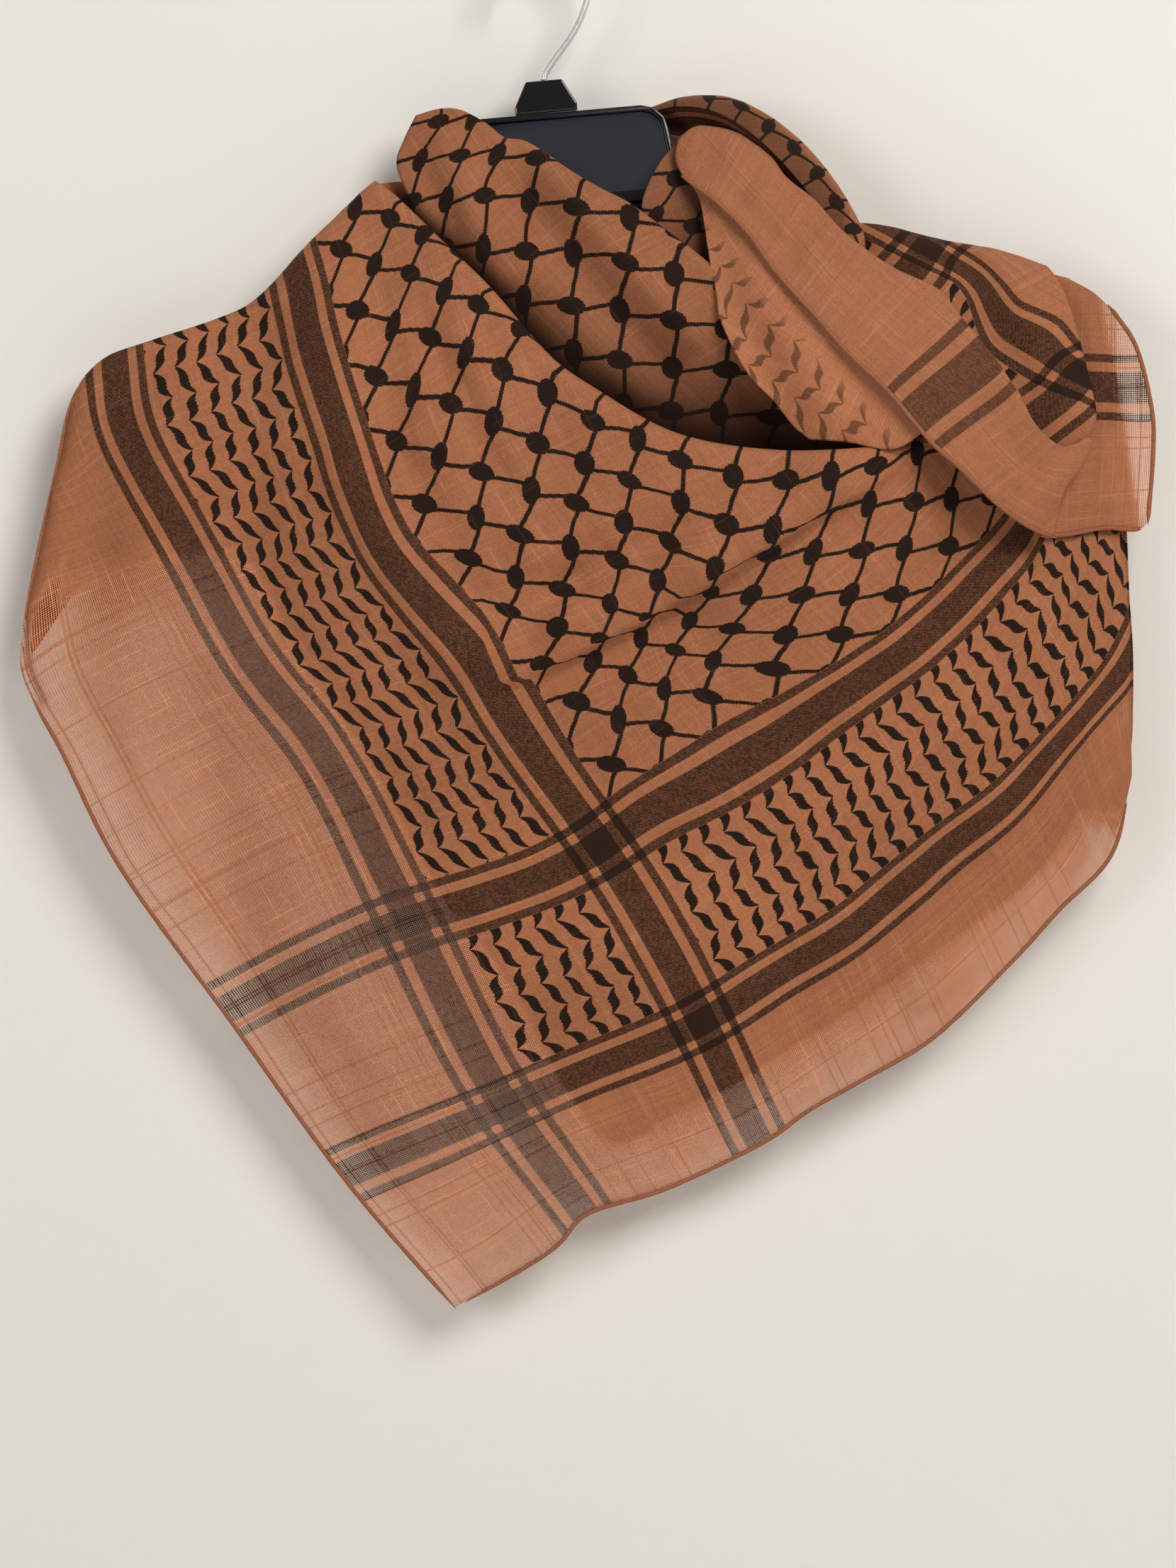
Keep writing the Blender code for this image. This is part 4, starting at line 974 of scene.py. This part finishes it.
grid = roll_sections(56)
run = travelled(stations[:, :2])[:, None]
round_it = ROLL_CLOTH[0] + travelled(grid[:, ::-1], axis=1)[:, ::-1]
run_it = ROLL_CLOTH[1] + ROLL_GATHER * run
ab = np.stack([round_it + run_it, round_it - run_it], -1) * math.sqrt(0.5) + NET_ORIGIN
# Painted shade along the part of the roll that turns in towards its rim.
hollow = 0.62 * rising(even(56), 0.6, 0.25) * np.ones((STATIONS, 1))
cloth_roll = cloth("cloth_roll", crumpled(grid, ab, 0.3, seed=15), ab, (DOUBLED, DOUBLED_WRONG), "gathered",
                   ["hanger_moulding"], hollow=hollow)
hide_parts("neck_roll")
rough = roll_sections(15)
rim = rough[:, -1] - (rough[:, -1] - rough[:, -2]) * 0.16
facing = np.radians(stations[:, 2])
middle = np.column_stack([stations[:, 0] - stations[:, 3] * np.cos(facing),
                          stations[:, 1] - stations[:, 3] * np.sin(facing), stations[:, 4]])
start = rim + (middle - rim) / stations[:, 3:4] * (WALL + LAYER)
foot = along(CURL_FOOT, even(STATIONS))
share = even(30)[None, :, None]
grid = start[:, None] * (1 - share) + foot[:, None] * share
grid[..., 2] -= CURL_SAG * np.sin(math.pi * share[..., 0])
deep = travelled(grid, axis=1)
ab = np.stack([CURL_CLOTH[0] + run + 0 * deep, CURL_CLOTH[1] - deep], -1)
cloth_curl = cloth("cloth_roll_curl", crumpled(grid, ab, 0.3, seed=17), ab, (DOUBLED, DOUBLED_WRONG),
                   "gathered", ["hanger_moulding"])
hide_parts("roll_curl")


# End flap
# The loose end of the scarf, hemmed cotton turned up and laid over the winding: its plain border and one
# band face out, and its wrong side shows below the hem, where the print has only half come through.

FLAP_HEM = (
    (58, -98.5, 18), (73.5, -111.5, 31), (86, -125.5, 40), (96.5, -141, 46), (113.5, -161, 53),
    (126, -176, 58), (143, -193, 62), (160, -213, 62), (173.5, -225, 60), (187, -237.5, 54),
    (198, -245, 46), (206, -249, 41), (213.5, -251.5, 35))
FLAP_TOP = (
    (56.5, -81, 13), (63, -76.5, 15), (69, -76.2, 17), (79.5, -79, 22), (87.5, -84, 25),
    (95.5, -91.5, 30), (101.5, -99.5, 32), (113.5, -110, 36), (126, -124, 39), (144, -137.5, 42),
    (164, -147, 43), (170.5, -154.5, 44), (187, -176, 45), (196.5, -190, 44), (201.5, -201, 42),
    (207.5, -208.5, 39), (215, -213, 34.5), (222.5, -211.5, 32), (227.5, -208.5, 29))
FLAP_END = ((58, -98.5, 18), (55, -90, 14), (56.5, -81, 13))
FLAP_TURN = (
    (213.5, -251.5, 35), (215, -244, 34), (218.5, -231.5, 32), (226, -221, 28.5),
    (230.5, -210, 26), (227.5, -208.5, 29))
FLAP_FOLDS = ((80, -95, 150, -180, 12, 3.0), (150, -180, 205, -232, 13, 4.5),
              (160, -152, 208, -218, 8, -2.5), (168, -172, 196, -205, 8, 1.5),
              (70, -92, 104, -138, 7, -1.6), (104, -130, 125, -116, 4.0, -1.7),
              (91, -96, 77, -114, 4.5, -1.3), (168, -150, 148, -168, 5, -1.8),
              (196, -186, 176, -203, 6, -2.0), (126, -138, 140, -158, 5, 1.2),
              (112, -114, 128, -134, 4, 1.3), (60, -88, 78, -84, 4, 1.0))
FLAP_PLACES = (                # x, z, a, b
    (58, -98.5, 300, 0), (86, -125.5, 262, 0), (113.5, -161, 218, 0), (144.2, -191.5, 171.2, 0),
    (164.2, -213.2, 147.8, 0), (187, -237.5, 118, 0), (213.5, -251.5, 90, 0), (69, -76.2, 300, 26),
    (101.5, -99.5, 262, 40), (126, -124, 230, 44), (173.3, -164.8, 171.2, 46), (195, -189, 147.8, 44),
    (215, -213, 118, 40), (226, -221, 100, 30))
FLAP_ROUND = 6.0               # how far its upper edge turns back
TURNED_UP = cotton("voile_turned_up", 0.0, 0.86, 0.84)
grid = patch(FLAP_END, FLAP_TURN, FLAP_HEM, FLAP_TOP, even(150), even(46))
grid[..., 2] += folds(FLAP_FOLDS, grid[..., 0], grid[..., 1])
edge = rising(even(46), 0.66, 0.34)[:, None]
grid[..., 2] -= FLAP_ROUND * (1 - np.sqrt(1 - edge ** 2))
ab = coordinates(FLAP_PLACES, grid)
flap = crumpled(grid, ab, 0.35, seed=20)
flap[0] = grid[0]
cloth_flap = cloth("cloth_end_flap", flap, ab, (TURNED_UP, DOUBLED_WRONG), "folded", ["cloth_front"])
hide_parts("end_flap")

UNDER_LEFT = (
    (110.5, -211.5, 47), (104, -206, 46.5), (95.5, -195, 45.5), (84.5, -183, 42.5), (74, -162, 39.5),
    (72, -150, 38.5), (69, -134, 34.5), (67, -119, 26), (65, -108, 21.5), (60.5, -100, 16.5))
UNDER_FOOT = ((110.5, -211.5, 47), (126, -213, 51.5), (145, -216, 56.5), (156, -215, 57))
UNDER_FOLDS = ((74, -140, 100, -200, 9, -3.0), (88, -150, 120, -200, 9, 2.0))
UNDER_PLACES = (               # x, z, a, b
    (95, -165.6, 230, 105), (134, -194.3, 190, 105), (79.6, -153.3, 246, 108), (102.2, -203.5, 212, 139),
    (66, -115, 285, 99), (126, -213, 190, 129), (150, -213, 175, 105))
UNDER_OFFSET = (2.5, 2.0, -2.8)        # x, z, forward: how it lies behind the flap's hem
hem_line = along(FLAP_HEM, np.linspace(0.06, 0.67, 30))[::-1] + UNDER_OFFSET
grid = patch(UNDER_LEFT, hem_line, (*UNDER_FOOT[:-1], tuple(hem_line[0])),
             (UNDER_LEFT[-1], tuple(hem_line[-1])), even(50), even(90))
grid[..., 2] += folds(UNDER_FOLDS, grid[..., 0], grid[..., 1])
ab = coordinates(UNDER_PLACES, grid)
washed = 1 - rising(distance_to(hem_line, grid[..., 0], grid[..., 1]), 11, 6)
TURNED_UNDER = cotton("voile_turned_under", 0.0, 0.97, 0.62)
cloth_under = cloth("cloth_end_wrong_side", crumpled(grid, ab, 0.3, seed=22), ab, (TURNED_UNDER, DOUBLED),
                    "folded", ["cloth_front"], washed=washed)
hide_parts("end_flap_underside")


# Shoulder fold and tail
# Striped cotton between the roll and the round end, folded over the hanger's arm, and the hemmed corner
# that hangs free behind it.

SHOULDER_TOP = (
    (129, -116, 0), (138.5, -117, 4), (148, -119, 5), (161, -122, 5), (181, -126, 5),
    (191, -128, 5.5), (201.5, -131, 7), (212, -135, 8.5))
SHOULDER_RIGHT = (
    (228.5, -211.5, 17.5), (232, -201, 19), (230.5, -190, 18), (227.5, -176, 16), (223, -159, 14.5),
    (218.5, -145.5, 11.5), (212, -135, 8.5))
SHOULDER_LEFT = ((141, -152, 17), (133, -134, 7), (129, -116, 0))
SHOULDER_FOOT = (
    (141, -152, 17), (149, -151, 20), (166, -165, 24), (186, -192, 25), (208, -214, 22),
    (228.5, -211.5, 17.5))
SHOULDER_ROUND = 6
SHOULDER_FOLDS = ((170, -124, 205, -200, 12, -3.0), (190, -130, 220, -195, 9, 3.0),
                  (150, -122, 175, -160, 9, 2.5))
SHOULDER_PLACES = (            # x, z, a, b
    (161.7, -128.6, 159.5, 71.5), (175, -136.5, 143.3, 71.5), (185, -144.8, 129.6, 71.5),
    (191.7, -156.5, 115.5, 71.5), (201.7, -164.8, 101.9, 71.5), (212.5, -172.3, 88.1, 71.5),
    (225.4, -181.5, 71.5, 71.5), (190, -140.7, 130, 59.8), (199.2, -152.3, 115, 59.8),
    (216.7, -160.7, 97, 59.8), (225, -170.7, 83.2, 59.8), (173.3, -142.3, 143, 83.2),
    (181.7, -157.3, 124, 83.2), (186.7, -169.8, 107, 83.2), (208.3, -184.8, 83.2, 83.2),
    (227.5, -193.2, 64, 83.2), (214.2, -209.8, 59.8, 104), (207.5, -199, 71.5, 95),
    (203.3, -136.5, 128, 46))
grid = patch(SHOULDER_LEFT, SHOULDER_RIGHT, SHOULDER_FOOT, SHOULDER_TOP, even(80), edged(70, 0.08, 8))
x, z = grid[..., 0], grid[..., 1]
grid[..., 2] += folds(SHOULDER_FOLDS, x, z)
top = distance_to(along(SHOULDER_TOP, even(40)), x, z)
grid[..., 2] += SHOULDER_ROUND - quarter_drop(top, SHOULDER_ROUND)
ab = coordinates(SHOULDER_PLACES, grid)
cloth_shoulder = cloth("cloth_shoulder", crumpled(grid, ab, 0.3, seed=25), ab, (DOUBLED, DOUBLED_WRONG),
                       "folded", ["hanger_moulding"])
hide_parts("shoulder_fold")

TAIL_LEFT = ((208, -250.5), (213, -222), (217, -190), (213, -168), (211, -139))
TAIL_RIGHT = (
    (254, -244.5), (256, -215), (255.5, -197), (249.5, -171.5), (241, -157), (231.5, -148), (220, -141))
TAIL_FOOT = ((208, -250.5), (221.5, -249), (235, -246.5), (250, -247), (254, -244.5))
TAIL_LIFTS = (                 # x, z, how far the tail stands off the front drape
    (208, -250, 0.5), (254, -246, 2.5), (256, -200, 4.0), (240, -157, 3.0), (212, -138, 0.5),
    (217, -190, 1.2), (235, -200, 4.0), (232, -235, 2.5))
TAIL_FOLDS = ((228, -150, 238, -235, 7, 2.0), (240, -160, 248, -235, 6, -1.2))
TAIL_PLACES = (                # x, z, a, b
    (254, -245, 0, 0), (208, -250, 46, 0), (256, -199.4, 0, 59.8), (256, -186.5, 0, 71.5),
    (252, -174.8, 4, 83.2), (215, -199.4, 42, 59.8), (215, -186.5, 42, 71.5), (215, -174.8, 42, 83.2),
    (225, -146, 32, 114))
grid = patch(TAIL_LEFT, TAIL_RIGHT, TAIL_FOOT, (TAIL_LEFT[-1], TAIL_RIGHT[-1]), even(50), even(80))
x, z = grid[..., 0], grid[..., 1]
grid = np.dstack([x, z, front_depth(x, z)])
tail_lift = height_field(TAIL_LIFTS)
stand_off = WALL + LAYER + np.maximum(tail_lift(x, z), 0) + np.maximum(folds(TAIL_FOLDS, x, z), -1)
grid += normals(grid) * stand_off[..., None]
ab = coordinates(TAIL_PLACES, grid)
tail = crumpled(grid, ab, 0.25, seed=28)
tail[0] = grid[0]
tail[:, -1] = grid[:, -1]
cloth_tail = cloth("cloth_tail", tail, ab, (SINGLE, SINGLE_WRONG), "hung", ["cloth_front"],
                   bare=rising(x + 0.18 * (z + 164), 234, 4))
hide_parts("shoulder_tail")


# Rolled hems
# The raw edge of the cotton, rolled over twice and sewn down with a fine thread. It runs along every edge
# of the square that shows.

HEM_RADIUS = 1.0
HEM_OUT = 0.3                  # how far its middle lies outside the edge, in shares of its radius
HEM_STEP = 1.2
STITCH_LEAN = 0.25
hem_cotton, tree, shader = plain("rolled_hem", (0.28, 0.088, 0.036), 0.9, Sheen_Weight=0.04)
tree.links.new(blended(tree, Term(grain(tree, 900)), (0.21, 0.066, 0.028), (0.37, 0.128, 0.054)),
               shader.inputs["Base Color"])
thread = plain("hem_thread", (0.40, 0.158, 0.074), 0.8)[0]


def hem_tree():
    """Geometry nodes: an uneven tube along a line, with stitches across its inner side."""
    group = bpy.data.node_groups.new("rolled_hem", "GeometryNodeTree")
    ports = group.interface
    ports.new_socket(name="Geometry", in_out="INPUT", socket_type="NodeSocketGeometry")
    for name, value in (("Radius", HEM_RADIUS * MM), ("Unevenness", 0.22), ("Stitch Spacing", 2.5 * MM),
                        ("Stitch Length", 1.5 * MM), ("Stitch Radius", 0.17 * MM)):
        ports.new_socket(name=name, in_out="INPUT", socket_type="NodeSocketFloat").default_value = value
    ports.new_socket(name="Seed", in_out="INPUT", socket_type="NodeSocketInt").default_value = 4
    ports.new_socket(name="Cloth", in_out="INPUT", socket_type="NodeSocketMaterial")
    ports.new_socket(name="Thread", in_out="INPUT", socket_type="NodeSocketMaterial")
    ports.new_socket(name="Geometry", in_out="OUTPUT", socket_type="NodeSocketGeometry")
    given = group.nodes.new("NodeGroupInput").outputs

    def made(kind, output, mode=None, **inputs):
        return new_node(group, kind, mode, **inputs).outputs[output]

    # The tube: lumpy, and thinner towards both its ends
    line = made("GeometryNodeMeshToCurve", "Curve", Mesh=given["Geometry"])
    fine = made("GeometryNodeResampleCurve", "Curve", "LENGTH", Curve=line, Length=HEM_STEP * MM)
    lumps = made("ShaderNodeTexNoise", "Fac", Scale=260)
    thinnest = 1 - Term(given["Unevenness"])
    uneven = made("ShaderNodeMapRange", "Result", Value=lumps, To_Min=thinnest.socket, To_Max=1.1)
    share = Term(made("GeometryNodeSplineParameter", "Factor"))
    from_end = term("MINIMUM", share, 1 - share)
    taper = made("ShaderNodeMapRange", "Result", Value=from_end.socket, From_Max=0.04, To_Min=0.25)
    girth = (Term(uneven) * Term(given["Radius"]) * Term(taper)).socket
    sized = made("GeometryNodeSetCurveRadius", "Curve", Curve=fine, Radius=girth)
    ring = made("GeometryNodeCurvePrimitiveCircle", "Curve", Resolution=10, Radius=1)
    tube = made("GeometryNodeCurveToMesh", "Mesh", Curve=sized, Profile_Curve=ring, Scale=girth,
                Fill_Caps=True)
    tube = made("GeometryNodeSetMaterial", "Geometry", Geometry=tube, Material=given["Cloth"])

    # The stitches: short straight threads, each leaning a little its own way
    marks = new_node(group, "GeometryNodeCurveToPoints", "LENGTH", Curve=line,
                     Length=given["Stitch Spacing"])
    stitch = made("GeometryNodeMeshCylinder", "Mesh", Vertices=6, Radius=given["Stitch Radius"],
                  Depth=given["Stitch Length"])
    lean = new_node(group, "FunctionNodeRandomValue", Seed=given["Seed"])
    lean.inputs[2].default_value = -STITCH_LEAN
    lean.inputs[3].default_value = STITCH_LEAN
    lean = made("ShaderNodeCombineXYZ", "Vector", Y=lean.outputs[1])
    lean = made("FunctionNodeEulerToRotation", "Rotation", Euler=lean)
    turned = new_node(group, "FunctionNodeRotateRotation", Rotation=marks.outputs["Rotation"],
                      Rotate_By=lean)
    turned.rotation_space = "LOCAL"
    sewn = made("GeometryNodeInstanceOnPoints", "Instances", Points=marks.outputs["Points"],
                Instance=stitch, Rotation=turned.outputs["Rotation"])
    forward = made("ShaderNodeCombineXYZ", "Vector", Y=(Term(given["Radius"]) * -0.95).socket)
    sewn = made("GeometryNodeSetPosition", "Geometry", Geometry=sewn, Offset=forward)
    sewn = made("GeometryNodeRealizeInstances", "Geometry", Geometry=sewn)
    sewn = made("GeometryNodeSetMaterial", "Geometry", Geometry=sewn, Material=given["Thread"])
    both = new_node(group, "GeometryNodeJoinGeometry", Geometry=tube)
    group.links.new(sewn, both.inputs["Geometry"])
    new_node(group, "NodeGroupOutput", Geometry=both.outputs["Geometry"])
    return group


HEM_TREE = hem_tree()


def hem(name, node, edge, inner, seed):
    """A rolled hem beside an edge of a sheet; inner is the line of the sheet just inside it."""
    run = headings(edge)
    out = edge - inner
    out -= run * (out * run).sum(axis=1, keepdims=True)
    out /= np.linalg.norm(out, axis=1, keepdims=True)
    line = edge + out * HEM_RADIUS * HEM_OUT
    mesh = bpy.data.meshes.new(name)
    corners = [(x * MM, -forward * MM, z * MM) for x, z, forward in line]
    mesh.from_pydata(corners, [(i, i + 1) for i in range(len(line) - 1)], [])
    carrier = placed(name, mesh)
    grow = carrier.modifiers.new("hem", "NODES")
    grow.node_group = HEM_TREE
    settings = {"Seed": seed, "Cloth": hem_cotton, "Thread": thread, "Radius": HEM_RADIUS * MM}
    for item in HEM_TREE.interface.items_tree:
        if item.in_out == "INPUT" and item.name in settings:
            grow[item.identifier] = settings[item.name]
    bpy.context.view_layer.update()
    ready = carrier.evaluated_get(bpy.context.evaluated_depsgraph_get())
    plain_mesh = bpy.data.meshes.new_from_object(ready)
    bpy.data.objects.remove(carrier)
    plain_mesh.name = name
    piece = shown(name, plain_mesh)
    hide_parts(node)


on_left = slice(0, 92)         # the rows or columns of each edge along which its hem shows
on_foot = slice(5, -8)
on_tail = slice(0, 66)
for seed, (name, node, edge, inner) in enumerate((
        ("hem_roll_left", "hem_left", front[on_left, 0], front[on_left, 3]),
        ("hem_roll_foot", "hem_lower_right", front[0, on_foot], front[3, on_foot]),
        ("hem_roll_flap", "hem_flap", flap[0], flap[3]),
        ("hem_roll_tail_side", "hem_tail_side", tail[on_tail, -1], tail[on_tail, -3]),
        ("hem_roll_tail_foot", "hem_tail_foot", tail[0, :-4], tail[3, :-4])), 1):
    hem(name, node, edge, inner, seed)


# Room
# A plain painted wall close behind the hanger, which is clear from behind, and a pale floor. Three soft
# lamps stand to the right, to the left and behind; the camera looks straight at the wall.

WALL_PLACE = 0.022             # metres behind the hanger's middle plane
FLOOR_PLACE = -0.95
CENTRE = (0.02, 0, -0.33)
LAMPS = (                      # name, place, size, power, colour
    ("key", (0.85, -1.6, 0.75), 1.1, 32, (1.0, 0.975, 0.945)),
    ("fill", (-1.4, -1.7, 0.0), 1.0, 11, (0.95, 0.97, 1.0)),
    ("behind", (-0.8, 1.9, 0.5), 1.0, 16, (1.0, 0.98, 0.95)))
DAYLIGHT = (0.95, 0.97, 1.0, 1)
DAYLIGHT_STRENGTH = 0.16
CAMERA_DISTANCE = 2.2
FRAME_HEIGHT = 0.6667          # metres that the frame spans at the hanger
SENSOR = 36


def flat(name, corners, material):
    mesh = bpy.data.meshes.new(name)
    mesh.from_pydata(corners, [], [(0, 1, 2, 3)])
    mesh.materials.append(material)
    piece = placed(name, mesh)
    return piece


paint, tree, shader = plain("wall_paint", (0.80, 0.775, 0.72), 0.9)
dented(tree, shader, grain(tree, 60, 5), 0.25, 0.6)
side_of = tree.nodes.new("ShaderNodeNewGeometry")
one_sided = new_node(tree, "ShaderNodeMixShader", Fac=side_of.outputs["Backfacing"])
tree.links.new(shader.outputs["BSDF"], one_sided.inputs[1])
tree.links.new(tree.nodes.new("ShaderNodeBsdfTransparent").outputs["BSDF"], one_sided.inputs[2])
tree.links.new(one_sided.outputs["Shader"], tree.nodes["Material Output"].inputs["Surface"])
wall = flat("wall", [(-3, WALL_PLACE, FLOOR_PLACE), (3, WALL_PLACE, FLOOR_PLACE), (3, WALL_PLACE, 2.2),
                     (-3, WALL_PLACE, 2.2)], paint)
wall.visible_shadow = False
boards = plain("floor_paint", (0.74, 0.72, 0.69), 0.8)[0]
flat("floor", [(-4, -4, FLOOR_PLACE), (4, -4, FLOOR_PLACE), (4, 4, FLOOR_PLACE), (-4, 4, FLOOR_PLACE)],
     boards)
for name, place, size, power, colour in LAMPS:
    light = bpy.data.lights.new(name, "AREA")
    light.shape = "DISK"
    light.size = size
    light.energy = power
    light.color = colour
    lamp = placed(name, light)
    lamp.location = place
    lamp.rotation_euler = (Vector(CENTRE) - Vector(place)).to_track_quat("-Z", "Y").to_euler()
world = bpy.data.worlds.new("room")
bpy.context.scene.world = world
world.use_nodes = True
sky = world.node_tree.nodes["Background"]
sky.inputs["Color"].default_value = DAYLIGHT
sky.inputs["Strength"].default_value = DAYLIGHT_STRENGTH
bpy.context.scene.view_settings.view_transform = "Standard"

camera = placed("camera", bpy.data.cameras.new("camera"))
camera.location = (0.0183, -CAMERA_DISTANCE, -0.3548)
camera.rotation_euler = (math.radians(90), 0, 0)
camera.data.sensor_fit = "AUTO"
camera.data.sensor_width = SENSOR
camera.data.lens = SENSOR * CAMERA_DISTANCE / FRAME_HEIGHT
camera.data.dof.use_dof = False
bpy.context.scene.camera = camera
